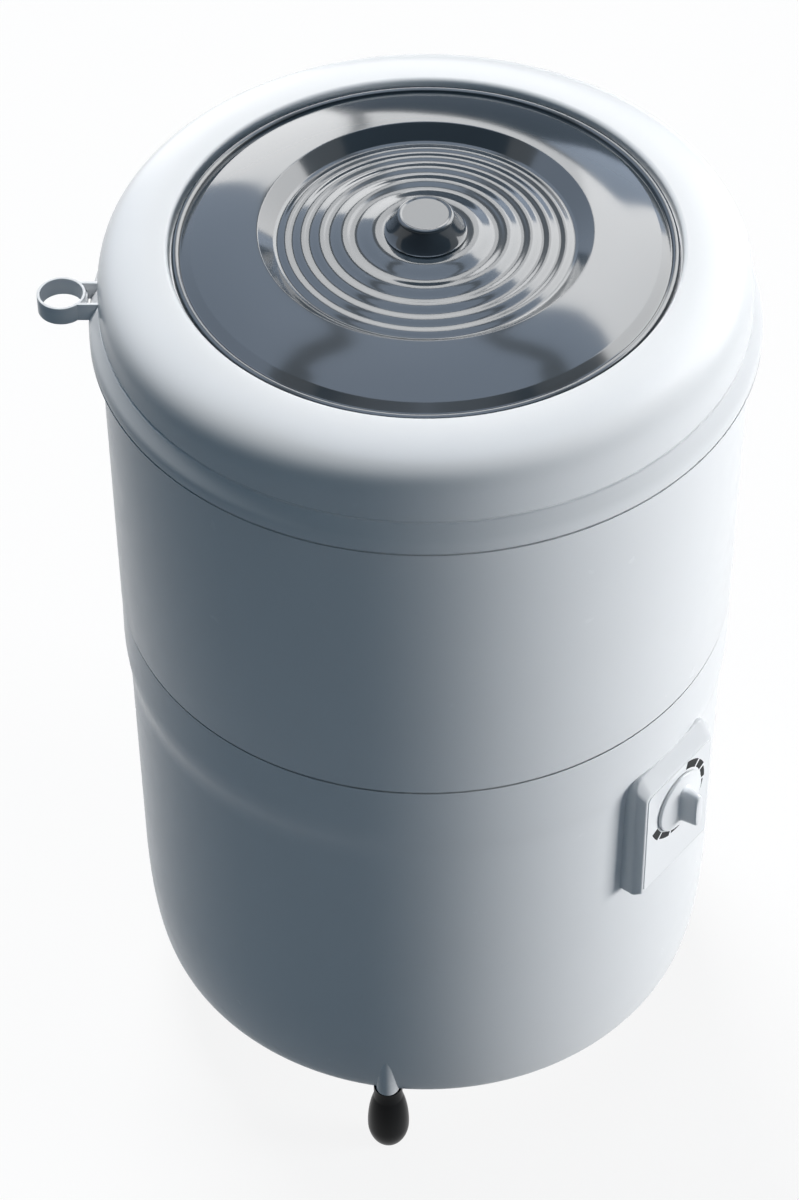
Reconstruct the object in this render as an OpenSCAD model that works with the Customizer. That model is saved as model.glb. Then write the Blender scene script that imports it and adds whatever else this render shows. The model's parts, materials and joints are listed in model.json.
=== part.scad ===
// Round semi-automatic washing machine with a lift-off lid.
// Millimetres. +Z is up, the origin is on the floor on the tub's axis, and the control panel faces -Y.

/* [Casing] */
// Clear height from the floor to the underside of the casing
foot_h = 70; // [60:1:90]
// Height of the lower casing, from its underside to the seam
lower_h = 367; // [355:1:400]
// Height of the upper casing, from the seam to the bottom edge of the top ring
upper_h = 250; // [230:1:300]
// Outer radius of the casing under the top ring
casing_top_r = 232.7; // [228:0.1:238]
// How much less the casing's radius is at the seam and along the band below it
seam_in = 1.4; // [0.8:0.1:2]
// How much less the radius is at the waist just below the band
waist_in = 4.9; // [4:0.1:5.5]
// How much less the radius is where the bottom corner starts
corner_top_in = 6.5; // [6:0.1:7.5]
// How far the bottom corner curves inwards
corner_in = 11.3; // [8:0.1:14]
// Height of the bottom corner
corner_h = 101; // [80:1:110]
// Height of the band below the seam
band_h = 50; // [40:1:55]
// Height of the slope between the band and the waist
band_slope_h = 24; // [16:1:26]
// Wall of both casings
casing_wall = 3; // [2.5:0.1:3.4]
// Height of the groove that shows at the seam
seam_groove_h = 1.2; // [0.8:0.1:2]
// Width of the floor left round the service opening
floor_w = 50; // [42:1:75]

/* [Top ring] */
// How far the ring's skirt stands out from the casing
skirt_out = 7.3; // [6.5:0.1:10]
// Height of the skirt
skirt_h = 17; // [16:0.5:18]
// How far the sloping ledge above the skirt steps in
ledge_in = 7.3; // [6:0.1:8]
// Height of the sloping ledge above the skirt
ledge_h = 7; // [6:0.5:8]
// Height from the skirt's bottom edge to the ring's crest
ring_h = 74.5; // [74:0.5:80]
// Height from the skirt's bottom edge to where the dome starts to curve in
dome_start_h = 36.6; // [34:0.2:40]
// Width of the dome, from the ledge to the crest's inner end
dome_w = 48.5; // [46:0.5:51]
// Roundness of the dome, where 2 is an ellipse and more is squarer
dome_power = 2.8; // [2.2:0.1:3.4]
// Wall of the top ring
ring_wall = 3; // [2.5:0.1:3.4]
// Radius of the rounding between the crest and the lid's well
lip_round = 3.4; // [3:0.1:4]
// Depth of the lid's shelf below the crest
shelf_drop = 8.4; // [7.6:0.1:11]
// Width of the shelf that the lid rests on
shelf_w = 9.8; // [8:0.1:11]
// Height of the throat that hangs below the shelf
throat_h = 26; // [15:1:30]

/* [Lid] */
// Gap between the lid's edge and the ring
lid_gap = 2; // [1:0.1:3]
// Width of the rolled bead round the lid's edge
bead_w = 6; // [5:0.1:6.5]
// Height of the bead above the lid's edge
bead_h = 1.8; // [1:0.1:2.5]
// Width of the steep shoulder inside the bead
shoulder_w = 6.7; // [5:0.1:8]
// Height of the shoulder above the lid's edge
shoulder_h = 4.6; // [3.5:0.1:6]
// Height that the lid's dome climbs from the shoulder to the recess
dome_rise = 12.3; // [9:0.1:14]
// Radius of the round recess in the middle of the lid
recess_r = 117.7; // [113:0.1:122]
// Radius where the recess's sloping wall reaches the ripples
ripple_r = 105; // [100:0.5:107]
// Depth of the recess
recess_depth = 8.5; // [7:0.5:12]
// Height of the ripples, from trough to crest
ripple_h = 2.4; // [1:0.1:2.6]
// Radius of the innermost ripple
ripple_first_r = 37; // [34:0.5:40]
// Radius of the second ripple, which sets how quickly they crowd outwards
ripple_second_r = 59; // [56:0.5:62]
// Height that the recess's floor climbs from its edge to the knob
floor_rise = 3; // [1:0.5:4]
// Thickness of the lid
lid_t = 2.6; // [2.2:0.1:3]
// Radius of the flat top of the lid's knob
lid_knob_r = 18; // [16:0.5:20]
// Radius of the foot of the lid's knob
lid_knob_foot_r = 27; // [25:0.5:29]
// Height of the lid's knob above the ripples
lid_knob_h = 19.5; // [18:0.5:26]

/* [Hose holder] */
// Direction of the hose holder, seen from above
hose_angle = 128; // [110:1:150]
// Distance from the skirt to the hose ring's centre
hose_reach = 19; // [18.5:0.5:25]
// Bore of the hose ring
hose_ring_r = 15.3; // [13:0.1:16]
// Wall of the hose ring
hose_ring_wall = 2.2; // [1.8:0.1:3]
// Height of the hose ring and its straps
hose_ring_h = 14.6; // [12:0.2:15]
// Distance between the middles of the two straps
strap_gap = 23; // [20:0.5:26]
// Thickness of each strap
strap_t = 2.6; // [2:0.1:3]

/* [Control box] */
// How far the panel's face stands out from the casing's band
panel_out = 8.8; // [7:0.1:11]
// Width of the control box
box_w = 91; // [84:1:96]
// Height of the control box's flat face
face_h = 111.4; // [105:0.2:116]
// Height from the band's lower edge down to the face's upper edge
face_drop = 11.8; // [10:0.2:13]
// Width of the chamfer down each side of the face
side_chamfer_w = 6; // [4:0.5:7]
// Depth of the chamfer down each side of the face
side_chamfer_d = 3.4; // [2:0.2:5]
// Rounding of the box's upper corners, seen from the front
box_round = 11; // [8:0.5:14]
// Wall of the control box
box_wall = 2.6; // [2.2:0.1:3]
// Distance from the face's upper edge down to the timer's axis
dial_drop = 37.3; // [36:0.5:42]
// Thickness of the printed dial plate
dial_plate_t = 0.6; // [0.4:0.1:1]

/* [Timer] */
// Radius of the timer knob's skirt
knob_skirt_r = 26; // [23:0.5:28]
// Height of the knob's skirt at its rim
knob_rim_h = 2.4; // [1.8:0.2:3]
// Height of the knob's dish in the middle
knob_dish_h = 6; // [5:0.5:8]
// Height of the knob's grip above the panel
grip_h = 19; // [16:0.5:24]
// Length of the grip
grip_l = 34; // [28:0.5:40]
// Width of the grip at its foot
grip_foot_w = 15; // [12:0.5:18]
// Width of the grip along its top
grip_top_w = 8; // [6:0.5:10]
// Radius of the timer's shaft
timer_shaft_r = 3; // [2.5:0.1:3.5]
// Side of the timer's square case
timer_case_w = 50; // [44:1:54]
// Depth of the timer's case
timer_case_d = 24; // [20:1:26]

/* [Tub] */
// Distance from the casing's outside in to the tub's mouth
tub_in = 26.7; // [25.5:0.1:33]
// How much less the tub's radius is above its bottom corner than at its mouth
tub_taper = 9; // [7:0.5:16]
// Height from the floor to the inside of the tub's floor
tub_floor_z = 330; // [325:1:345]
// Radius of the tub's bottom corner
tub_corner_r = 60; // [50:1:65]
// Wall of the tub
tub_wall = 3; // [2.5:0.1:3.4]
// Thickness of the tub's rim flange
tub_flange_t = 4; // [3:0.5:5]
// Number of scrubbing ribs up the tub's wall
tub_ribs = 6; // [3:1:8]
// How far a scrubbing rib stands out of the wall
rib_out = 7; // [5:0.5:10]

/* [Drive] */
// Radius of the drive shaft
shaft_r = 7; // [6:0.5:8]
// Outer radius of the two shaft bearings
bearing_r = 16; // [14.5:0.5:17]
// Width of one bearing
bearing_w = 11; // [9:1:12]
// Outer radius of the bearing housing's barrel
barrel_r = 21; // [20:0.5:24]
// Radius of the bearing housing's flange
housing_flange_r = 46; // [40:1:50]
// Radius of the pulsator
pulsator_r = 92; // [80:1:105]
// Number of pulsator vanes
vanes = 6; // [4:1:8]
// Height of the vanes above the pulsator's dish
vane_h = 15; // [10:1:20]
// Pitch radius of the driven pulley
driven_pitch_r = 66; // [60:1:72]
// Pitch radius of the motor's pulley
motor_pitch_r = 22; // [20:1:24]
// Distance between the two pulleys' axes
belt_centres = 115; // [110:1:120]
// Width of the belt's back
belt_w = 10; // [8:0.5:11]
// Thickness of the belt
belt_t = 6; // [5:0.5:7]
// Width of both pulleys
pulley_w = 16; // [15:0.5:18]
// Radius of the motor's stator
motor_r = 58; // [52:1:62]
// Length of the motor's stator
stator_h = 70; // [60:1:80]
// Radius of the motor's shaft
motor_shaft_r = 6; // [5:0.5:7]
// Thickness of the steel motor plate
plate_t = 3; // [2:0.5:4]
// Direction of the motor, seen from above
motor_angle = 205; // [195:1:215]

/* [Drain and feet] */
// Outer radius of the drain pipe and its hose spigot
drain_r = 14; // [12:0.5:15]
// Wall of the drain pipe
drain_wall = 2.5; // [2:0.1:3]
// Sideways place of the drain pipe
drain_x = 62; // [55:1:70]
// Place of the drain's sump along the panel's direction
drain_y = 118; // [112:1:125]
// Height of the hose spigot's axis above the floor
spigot_z = 148; // [135:1:165]
// Length of the hose spigot outside the casing
spigot_l = 32; // [25:1:40]
// Distance from the edge of the casing's floor in to each foot
foot_in = 1.9; // [1.5:0.1:5]
// Widest radius of a foot
foot_r = 16.45; // [14:0.05:18]
// Radius of a foot's neck
foot_neck_r = 11.35; // [10:0.05:12]
// Height of a foot's widest part above the floor
foot_belly_z = 23.7; // [20:0.1:26]
// Height of the straight neck at the top of a foot
foot_neck_h = 12; // [8:0.5:16]
// Radius of the round boss above each foot
foot_boss_r = 9.2; // [8.5:0.1:10]
// How far the boss stands outwards from the middle of its foot
foot_boss_out = 2.4; // [1.5:0.1:2.6]

/* [Hidden] */
$fn = 96;

// Clearances
running = 0.05;
loose = 0.3;
play = 0.5;
overlap = 1;

// Casing
casing_seam_r = casing_top_r - seam_in;
waist_r = casing_top_r - waist_in;
corner_top_r = casing_top_r - corner_top_in;
z_case = foot_h;
z_seam = z_case + lower_h;
z_skirt = z_seam + upper_h;
z_band = z_seam - band_h;
z_waist = z_band - band_slope_h;
z_corner = z_case + corner_h;
base_r = corner_top_r - corner_in;
service_r = base_r - floor_w;
rim_rise = 10;
z_rim = z_skirt + rim_rise;
lip_h = 12;
lip_t = 2.4;
// Half the length of a cutter that crosses the curved wall
cut_reach = 25;

// Top ring and lid
skirt_r = casing_top_r + skirt_out;
ledge_r = skirt_r - ledge_in;
crest_r = ledge_r - dome_w;
z_ledge = z_skirt + skirt_h + ledge_h;
z_dome = z_skirt + dome_start_h;
z_crest = z_skirt + ring_h;
z_shelf = z_crest - shelf_drop;
well_r = crest_r - lip_round;
mouth_r = well_r - shelf_w;
dome_outer_r = ledge_r - 0.6;
arc_steps = 14;
z_lid = z_shelf + loose;
z_lid_edge = z_lid + lid_t;
lid_r = well_r - lid_gap;
shoulder_foot_r = lid_r - bead_w - 0.6;
shoulder_r = shoulder_foot_r - shoulder_w;
lid_lip_r = mouth_r - 1.5;
lid_lip_h = 7;
z_recess = z_lid_edge + shoulder_h + dome_rise;
z_ripple = z_recess - recess_depth;
z_lid_under = z_ripple + floor_rise - lid_t;
lid_seat_r = lid_knob_foot_r + 0.6;
z_lid_seat = ripple_z(lid_seat_r);

// Tub, gasket and clamp under the ring
tub_top_r = casing_top_r - tub_in;
tub_base_r = tub_top_r - tub_taper;
z_tub_flange = z_rim;
tub_flange_r = casing_top_r - casing_wall - 4.2;
z_gasket = z_tub_flange + tub_flange_t;
gasket_t = 2.5;
gasket_in_r = tub_top_r + 4;
gasket_out_r = tub_flange_r - 2.5;
z_clamp = z_gasket + gasket_t;
z_hose = z_skirt + 11.1;
hose_ring_offset = skirt_r + hose_reach;
screw_circle_r = tub_flange_r - 7;
flange_in_r = screw_circle_r - 4.5;
ring_screw_count = 6;
ring_screw_r = 2;
ring_screw_l = 24;
z_tub_under = tub_floor_z - tub_wall - 1;
z_rib_top = z_tub_flange - 60;
sump_h = 12;
drain_bend = 26;
drain_flange_t = 5;
z_drain_flange = z_tub_under - sump_h - loose - drain_flange_t;
spigot_end_y = base_r + corner_in + 2 + spigot_l;
gland_r = 8;

// Control box
panel_y = casing_seam_r + panel_out;
z_face_top = z_band - face_drop;
z_face_bottom = z_face_top - face_h;
z_dial = z_face_top - dial_drop;
panel_plate_y = panel_y + dial_plate_t;
box_screw_x = 37.5;
box_screw_inset = 13;
timer_screw_x = timer_case_w / 2 + 5;

// Drive stack under the tub
nose_r = 17;
nose_h = 6;
seal_r = 12.5;
z_nose_top = tub_floor_z + nose_h;
housing_flange_t = 6;
z_barrel_bottom = z_tub_under - 42;
z_upper_bearing = z_tub_under - bearing_w;
z_lower_bearing = z_barrel_bottom + 3;
z_pulley_top = z_barrel_bottom - 3;
z_pulley_mid = z_pulley_top - pulley_w / 2;
z_pulley_bottom = z_pulley_top - pulley_w;
nut_h = 6;
z_shaft_bottom = z_pulley_bottom - nut_h - 1;
z_plate = z_shaft_bottom - 3;
z_motor_top = z_plate - plate_t;
pulsator_gap = 3.5;
z_dish = tub_floor_z + pulsator_gap;
dish_t = 3;
hub_h = 26;
z_hub_top = z_dish + hub_h;
z_shaft_top = z_hub_top - 5;
belt_angle = asin((driven_pitch_r - motor_pitch_r) / belt_centres);
belt_run = belt_centres * cos(belt_angle);
groove_clear = 0.4;
plate_post_r = 8;
plate_arm_w = 18;
plate_posts = [[-75, 55], [65, -70], [-170, -20], [-95, -150]];
bell_h = 14;
capacitor_at = [70, 70];
capacitor_r = 20;
capacitor_h = 66;
bolt_r = 2.5;
plate_bolt_l = 18;

// Feet
foot_angles = [-150, -30, 90];
foot_offset = base_r - foot_in;
foot_boss_h = 52;
foot_screw_rise = 14;
foot_screw_l = 36;
z_foot_neck = foot_h - foot_neck_h;

white = [0.93, 0.94, 0.95];
lid_grey = [0.42, 0.46, 0.5];
panel_white = [0.97, 0.97, 0.97];
rubber = [0.04, 0.04, 0.045];
steel = [0.62, 0.64, 0.66];
tub_blue = [0.82, 0.87, 0.92];

// Points of a quarter of a superellipse, from its outer end to its top
function quarter(cr, cz, a, b, power, steps) = [
    for (i = [0:steps])
        let (t = 90 * i / steps)
        [cr + a * pow(cos(t), 2 / power), cz + b * pow(sin(t), 2 / power)]
];
function reversed(list) = [for (i = [len(list) - 1:-1:0]) list[i]];

// Height of the recess's floor, whose ripples crowd outwards and grow lower
function ripple_z(r) =
    z_ripple + floor_rise * (ripple_r - r) / (ripple_r - lid_knob_foot_r)
        + ripple_h / 2 * ripple_first_r / r * cos(360 * (r * r - pow(ripple_first_r, 2))
            / (pow(ripple_second_r, 2) - pow(ripple_first_r, 2)));

// Point of the lid's dome, where x runs from 0 at the recess to 1 at the shoulder
function lid_dome(x) = [recess_r + (shoulder_r - recess_r) * x, z_recess - dome_rise * (x + x * x) / 2];

// Radius of the tub's inner wall at one height
function tub_r(z) = tub_base_r + (tub_top_r - tub_base_r) * (z - tub_floor_z) / (z_tub_flange - tub_floor_z);

module revolve(points) {
    rotate_extrude() polygon(points);
}

// A plain tube standing on one height
module tube(r_out, r_in, h, z) {
    translate([0, 0, z]) difference() {
        cylinder(r = r_out, h = h);
        translate([0, 0, -overlap]) cylinder(r = r_in, h = h + 2 * overlap);
    }
}

// Children copied to each angle of a list, at one radius
module around(angles, r) {
    for (a = angles) rotate([0, 0, a]) translate([r, 0, 0]) children();
}
function spread(count, start) = [for (i = [0:count - 1]) start + 360 * i / count];

// A screw with its head at the origin and its shank along +Z
module screw(shank_r, shank_l, head_r, head_h) {
    cylinder(r = shank_r, h = shank_l);
    difference() {
        translate([0, 0, -head_h]) cylinder(r = head_r, h = head_h);
        translate([0, 0, -head_h - overlap]) cylinder(r = head_r * 0.45, h = head_h * 0.5 + overlap, $fn = 6);
    }
}

// A direction out of the casing's wall towards -Y, for pieces drawn along +Z
module out_of_panel(x, z, y) {
    translate([x, -y, z]) rotate([90, 0, 0]) children();
}

// Outline of the lower casing's outside, from its bottom corner to the seam
casing_outline = concat(
    [for (i = [8:-1:0]) let (t = 90 * i / 8)
        [base_r + corner_in * cos(t), z_corner - corner_h * sin(t)]],
    [[waist_r, z_waist], [casing_seam_r, z_band], [casing_seam_r, z_seam]]
);
casing_inline = concat(
    [for (i = [0:8]) let (t = 90 * i / 8)
        [base_r - casing_wall + corner_in * cos(t), z_corner - (corner_h - casing_wall) * sin(t)]]
);

module lower_shell() {
    revolve(concat(
        [[service_r, z_case]],
        casing_outline,
        [[casing_seam_r - casing_wall - loose, z_seam],
         [casing_seam_r - casing_wall - loose, z_seam + lip_h],
         [casing_seam_r - casing_wall - loose - lip_t, z_seam + lip_h],
         [casing_seam_r - casing_wall - loose - lip_t, z_seam - lip_h / 2],
         [casing_seam_r - casing_wall, z_seam - lip_h],
         [casing_seam_r - casing_wall, z_band],
         [waist_r - casing_wall, z_waist]],
        casing_inline,
        [[service_r, z_case + casing_wall]]
    ));
}

module casing_solid(grow) {
    revolve([
        [0, z_case], [base_r + grow, z_case],
        for (p = casing_outline) [p[0] + grow, p[1]],
        [0, z_seam]
    ]);
}

module lower_casing() color(white) {
    difference() {
        union() {
            lower_shell();
            around(foot_angles, foot_offset + foot_boss_out)
                translate([0, 0, z_case]) cylinder(r1 = foot_boss_r, r2 = foot_boss_r - 0.8, h = foot_boss_h);
            around(spread(6, 30), service_r + 6)
                translate([0, 0, z_case]) cylinder(r = 5, h = 12);
        }
        around(foot_angles, foot_offset)
            translate([0, 0, z_case - overlap]) cylinder(r = bolt_r + loose, h = foot_boss_h);
        around(foot_angles, foot_offset)
            translate([0, 0, z_case + foot_screw_rise]) cylinder(r = 5.4, h = foot_boss_h);
        around(spread(6, 30), service_r + 6)
            translate([0, 0, z_case - overlap]) cylinder(r = 1.6, h = 10 + overlap);
        // Opening behind the control box
        translate([-timer_case_w / 2 - 6, -waist_r - 20, z_dial - timer_case_w / 2 - 6])
            cube([timer_case_w + 12, 40, timer_case_w + 10]);
        for (x = [-box_screw_x, box_screw_x], z = [z_face_bottom + box_screw_inset, z_face_top - box_screw_inset])
            out_of_panel(x, z, waist_r - cut_reach) cylinder(r = 2.1, h = 2 * cut_reach);
        translate([drain_x, base_r - cut_reach, spigot_z])
            rotate([-90, 0, 0]) cylinder(r = drain_r + 1, h = 2 * cut_reach);
        // Eight-sided hole, which keeps the eight-sided neck of the cord gland from turning
        translate([-drain_x, base_r - cut_reach, spigot_z])
            rotate([-90, 0, 0]) cylinder(r = (gland_r + loose) / cos(22.5), h = 2 * cut_reach, $fn = 8);
    }
}

module upper_casing() color(white) {
    top_out = casing_top_r;
    difference() {
        revolve([
            [casing_seam_r - 1.5, z_seam], [casing_seam_r - 1.5, z_seam + seam_groove_h],
            [casing_seam_r, z_seam + seam_groove_h],
            [top_out, z_skirt], [top_out, z_rim], [flange_in_r, z_rim],
            [flange_in_r, z_rim - casing_wall], [top_out - casing_wall, z_rim - casing_wall],
            [top_out - casing_wall, z_skirt], [casing_seam_r - casing_wall, z_seam]
        ]);
        around(spread(ring_screw_count, 0), screw_circle_r)
            translate([0, 0, z_rim - casing_wall - overlap]) cylinder(r = ring_screw_r + 0.2, h = casing_wall + 2 * overlap);
    }
}

module base_plate() color(steel) {
    plate_r = service_r + 12;
    difference() {
        translate([0, 0, z_case - 2]) cylinder(r = plate_r, h = 2);
        around(spread(6, 30), service_r + 6)
            translate([0, 0, z_case - 2 - overlap]) cylinder(r = 2.2, h = 2 + 2 * overlap);
        for (row = [0:2], a = spread(12 - 3 * row, 15))
            rotate([0, 0, a]) translate([130 - 38 * row, 0, z_case - 2 - overlap])
                linear_extrude(2 + 2 * overlap) {
                    square([24, 5], center = true);
                    translate([-12, 0]) circle(r = 2.5);
                    translate([12, 0]) circle(r = 2.5);
                }
    }
}

// The ring's outside, from the skirt's bottom edge over the crest to the shelf
module ring_shell() {
    outer = quarter(crest_r, z_dome, dome_outer_r - crest_r, z_crest - z_dome, dome_power, arc_steps);
    inner = quarter(crest_r, z_dome, dome_outer_r - ring_wall - crest_r, z_crest - z_dome - ring_wall,
        dome_power, arc_steps);
    lip = [for (i = [1:6]) let (t = 90 + 90 * i / 6)
        [crest_r + lip_round * cos(t), z_crest - lip_round + lip_round * sin(t)]];
    revolve(concat(
        [[skirt_r, z_skirt + 0.8], [skirt_r, z_skirt + skirt_h], [ledge_r, z_ledge]],
        outer, lip,
        [[well_r - 0.6, z_shelf], [mouth_r + 1, z_shelf], [mouth_r, z_shelf - 1], [mouth_r, z_shelf - throat_h],
         [mouth_r + ring_wall, z_shelf - throat_h], [mouth_r + ring_wall, z_shelf - ring_wall],
         [well_r + ring_wall, z_shelf - ring_wall], [well_r + ring_wall, z_crest - lip_round - 0.5]],
        reversed(inner),
        [[ledge_r - ring_wall, z_ledge - ring_wall + 1.5], [skirt_r - ring_wall, z_skirt + skirt_h - 1.5],
         [skirt_r - ring_wall, z_skirt], [skirt_r - 0.8, z_skirt]]
    ));
}

module top_ring() color(white) {
    z_boss_top = z_crest - 12;
    difference() {
        union() {
            ring_shell();
            intersection() {
                union() {
                    tube(screw_circle_r + 1.5, screw_circle_r - 1.5, z_boss_top - z_clamp, z_clamp);
                    around(spread(ring_screw_count, 0), screw_circle_r)
                        translate([0, 0, z_clamp]) cylinder(r = 4.4, h = z_boss_top - z_clamp);
                }
                revolve(concat([[crest_r, z_clamp - 1]], [[dome_outer_r - 1, z_clamp - 1]],
                    quarter(crest_r, z_dome, dome_outer_r - 1.5 - crest_r, z_crest - z_dome - 1.5,
                        dome_power, arc_steps)));
            }
        }
        around(spread(ring_screw_count, 0), screw_circle_r)
            translate([0, 0, z_rim]) cylinder(r = ring_screw_r, h = ring_screw_l);
        // Slots for the hose holder's straps
        rotate([0, 0, hose_angle]) for (y = [-strap_gap / 2, strap_gap / 2])
            translate([ledge_r - 8, y - strap_t / 2 - loose, z_hose - loose])
                cube([30, strap_t + 2 * loose, hose_ring_h + 2 * loose]);
    }
}

module tub_gasket() color(rubber) {
    difference() {
        tube(gasket_out_r, gasket_in_r, gasket_t, z_gasket);
        around(spread(ring_screw_count, 0), screw_circle_r)
            translate([0, 0, z_gasket - overlap]) cylinder(r = ring_screw_r + 0.2, h = gasket_t + 2 * overlap);
    }
}

module lid() color(lid_grey) {
    bead_mid = lid_r - bead_w / 2;
    bead = [for (i = [0:10]) let (t = 180 * i / 10)
        [bead_mid + (bead_w / 2 - 0.3) * cos(t), z_lid_edge + bead_h * sin(t)]];
    dome = [for (i = [0:16]) lid_dome(1 - 0.97 * i / 16)];
    recess_round = 3;
    recess_edge = [for (i = [0:5]) let (t = 83 + 44 * i / 5)
        [recess_r + recess_round * cos(t), z_recess + recess_round * (sin(t) - 1)]];
    ripples = [for (i = [0:80]) let (r = ripple_r - (ripple_r - lid_seat_r) * i / 80) [r, ripple_z(r)]];
    top = concat(
        [[lid_r, z_lid], [lid_r, z_lid_edge - 0.5]],
        bead,
        [[shoulder_foot_r, z_lid_edge + 0.3]],
        dome,
        recess_edge,
        [[ripple_r + 1, ripple_z(ripple_r) + 0.6]],
        ripples,
        [[2.2, z_lid_seat], [2.2, z_lid_under]]
    );
    under = [
        [lid_knob_foot_r, z_lid_under], [ripple_r, z_ripple - lid_t],
        [recess_r - 1, z_recess - lid_t - 2], [recess_r + 2, z_recess - lid_t - 1],
        [shoulder_r - 1, z_lid_edge + shoulder_h - lid_t - 0.6],
        [lid_lip_r - 2, z_lid + 1], [lid_lip_r - 2, z_lid - lid_lip_h], [lid_lip_r, z_lid - lid_lip_h],
        [lid_lip_r, z_lid]
    ];
    revolve(concat(top, under));
}

module lid_knob() color(lid_grey) {
    z0 = z_lid_seat;
    z1 = z0 + lid_knob_h;
    waist = [for (i = [0:8]) let (t = 90 * i / 8)
        [lid_knob_foot_r - 6.5 * sin(t), z0 + 1 + (lid_knob_h - 9) * (1 - cos(t))]];
    crown = [for (i = [0:5]) let (t = 90 * i / 5)
        [lid_knob_r + 2.4 * cos(t), z1 - 2.6 + 2.6 * sin(t)]];
    difference() {
        revolve(concat([[0, z0], [lid_knob_foot_r, z0]], waist, crown, [[0, z1]]));
        translate([0, 0, z0 - overlap]) cylinder(r = 2.1, h = 14 + overlap);
    }
}

module lid_screw() color(steel) {
    translate([0, 0, z_lid_under]) screw(2, 16, 7.5, 2.6);
}

module hose_holder() color(white) {
    r_out = hose_ring_r + hose_ring_wall;
    root = ledge_r - 7.6;
    rotate([0, 0, hose_angle]) difference() {
        union() {
            translate([hose_ring_offset, 0, z_hose]) cylinder(r = r_out, h = hose_ring_h);
            for (side = [-1, 1]) {
                translate([root, side * strap_gap / 2 - strap_t / 2, z_hose])
                    cube([hose_ring_offset - root - 10, strap_t, hose_ring_h]);
                // Barb that locks the strap behind the ring's wall
                translate([root, side * (strap_gap / 2 + 0.6) - 1.4, z_hose + 2])
                    cube([3, 2.8, hose_ring_h - 4]);
            }
            // Bar that ties the straps together just outside the skirt
            translate([skirt_r + 1, -strap_gap / 2, z_hose]) cube([2.6, strap_gap, hose_ring_h * 0.55]);
        }
        translate([hose_ring_offset, 0, z_hose - overlap]) cylinder(r = hose_ring_r, h = hose_ring_h + 2 * overlap);
    }
}

// Body of the control box, smaller by a wall where it is hollow
module box_form(inset) {
    half = box_w / 2 - inset;
    face = panel_y - inset;
    z_top = z_band - inset * 0.6;
    z_low = z_face_bottom + inset;
    back = casing_seam_r - 30;
    intersection() {
        // Side view
        translate([-half, 0, 0]) rotate([90, 0, 90]) linear_extrude(2 * half)
            polygon([[-back, z_low], [-face + 1.5, z_low], [-face, z_low + 1.5], [-face, z_face_top - inset * 0.6],
                [-casing_seam_r + 0.5, z_top], [-back, z_top]]);
        // Plan
        translate([0, 0, z_low - overlap]) linear_extrude(z_top - z_low + 2 * overlap)
            polygon([[-half, -back], [-half, -face + side_chamfer_d], [-half + side_chamfer_w, -face],
                [half - side_chamfer_w, -face], [half, -face + side_chamfer_d], [half, -back]]);
        // Front view
        translate([0, -back + overlap, 0]) rotate([90, 0, 0]) linear_extrude(face - back + 2 * overlap) {
            translate([-half, z_low]) square([2 * half, z_top - box_round - z_low]);
            translate([-half + box_round, z_low]) square([2 * (half - box_round), z_top - z_low]);
            for (x = [-half + box_round, half - box_round])
                translate([x, z_top - box_round]) circle(r = box_round);
        }
    }
}

module control_box() color(white) {
    difference() {
        union() {
            difference() {
                box_form(0);
                box_form(box_wall);
            }
            intersection() {
                box_form(0);
                for (x = [-box_screw_x, box_screw_x],
                    z = [z_face_bottom + box_screw_inset, z_face_top - box_screw_inset])
                    out_of_panel(x, z, casing_seam_r - 30) cylinder(r = 4.5, h = panel_y);
            }
            for (x = [-timer_screw_x, timer_screw_x])
                out_of_panel(x, z_dial, panel_y - box_wall - 3) cylinder(r = 4, h = 3 + box_wall / 2);
        }
        casing_solid(0.2);
        for (x = [-box_screw_x, box_screw_x],
            z = [z_face_bottom + box_screw_inset, z_face_top - box_screw_inset])
            out_of_panel(x, z, casing_seam_r - 30) cylinder(r = 1.6, h = panel_y - 3 - casing_seam_r + 30);
        out_of_panel(0, z_dial, panel_y - 20) cylinder(r = 6, h = 30);
        for (x = [-timer_screw_x, timer_screw_x])
            out_of_panel(x, z_dial, panel_y - 20) cylinder(r = 1.4, h = 20 - 1.2);
    }
}

module dial_plate() color(panel_white) {
    difference() {
        translate([-box_w / 2 + side_chamfer_w + 2.5, -panel_plate_y, z_face_bottom + 5])
            cube([box_w - 2 * side_chamfer_w - 5, dial_plate_t, face_h - 9]);
        out_of_panel(0, z_dial, panel_y - 10) cylinder(r = 6, h = 20);
    }
}

module timer_case() color([0.85, 0.83, 0.76]) {
    front = panel_y - box_wall - 3;
    difference() {
        union() {
            translate([-timer_case_w / 2, -front + 2, z_dial - timer_case_w / 2])
                cube([timer_case_w, timer_case_d - 2, timer_case_w]);
            translate([-timer_screw_x - 5, -front, z_dial - 7])
                cube([2 * timer_screw_x + 10, 2, 14]);
            out_of_panel(0, z_dial, front - 2) cylinder(r = 9, h = 4);
        }
        out_of_panel(0, z_dial, front - timer_case_d + 3) cylinder(r = timer_shaft_r + running, h = timer_case_d + 10);
        for (x = [-timer_screw_x, timer_screw_x])
            out_of_panel(x, z_dial, front - 5) cylinder(r = 1.8, h = 12);
    }
}

module timer_screws() color(steel) {
    for (x = [-timer_screw_x, timer_screw_x])
        out_of_panel(x, z_dial, panel_y - box_wall - 5) screw(1.35, 5.5, 3.2, 2);
}

module box_screws() color(steel) {
    for (x = [-box_screw_x, box_screw_x],
        z = [z_face_bottom + box_screw_inset, z_face_top - box_screw_inset])
        out_of_panel(x, z, sqrt(pow(waist_r - casing_wall - 1.6, 2) - x * x) - 0.4) screw(1.55, 15, 3.6, 2.4);
}

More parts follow.
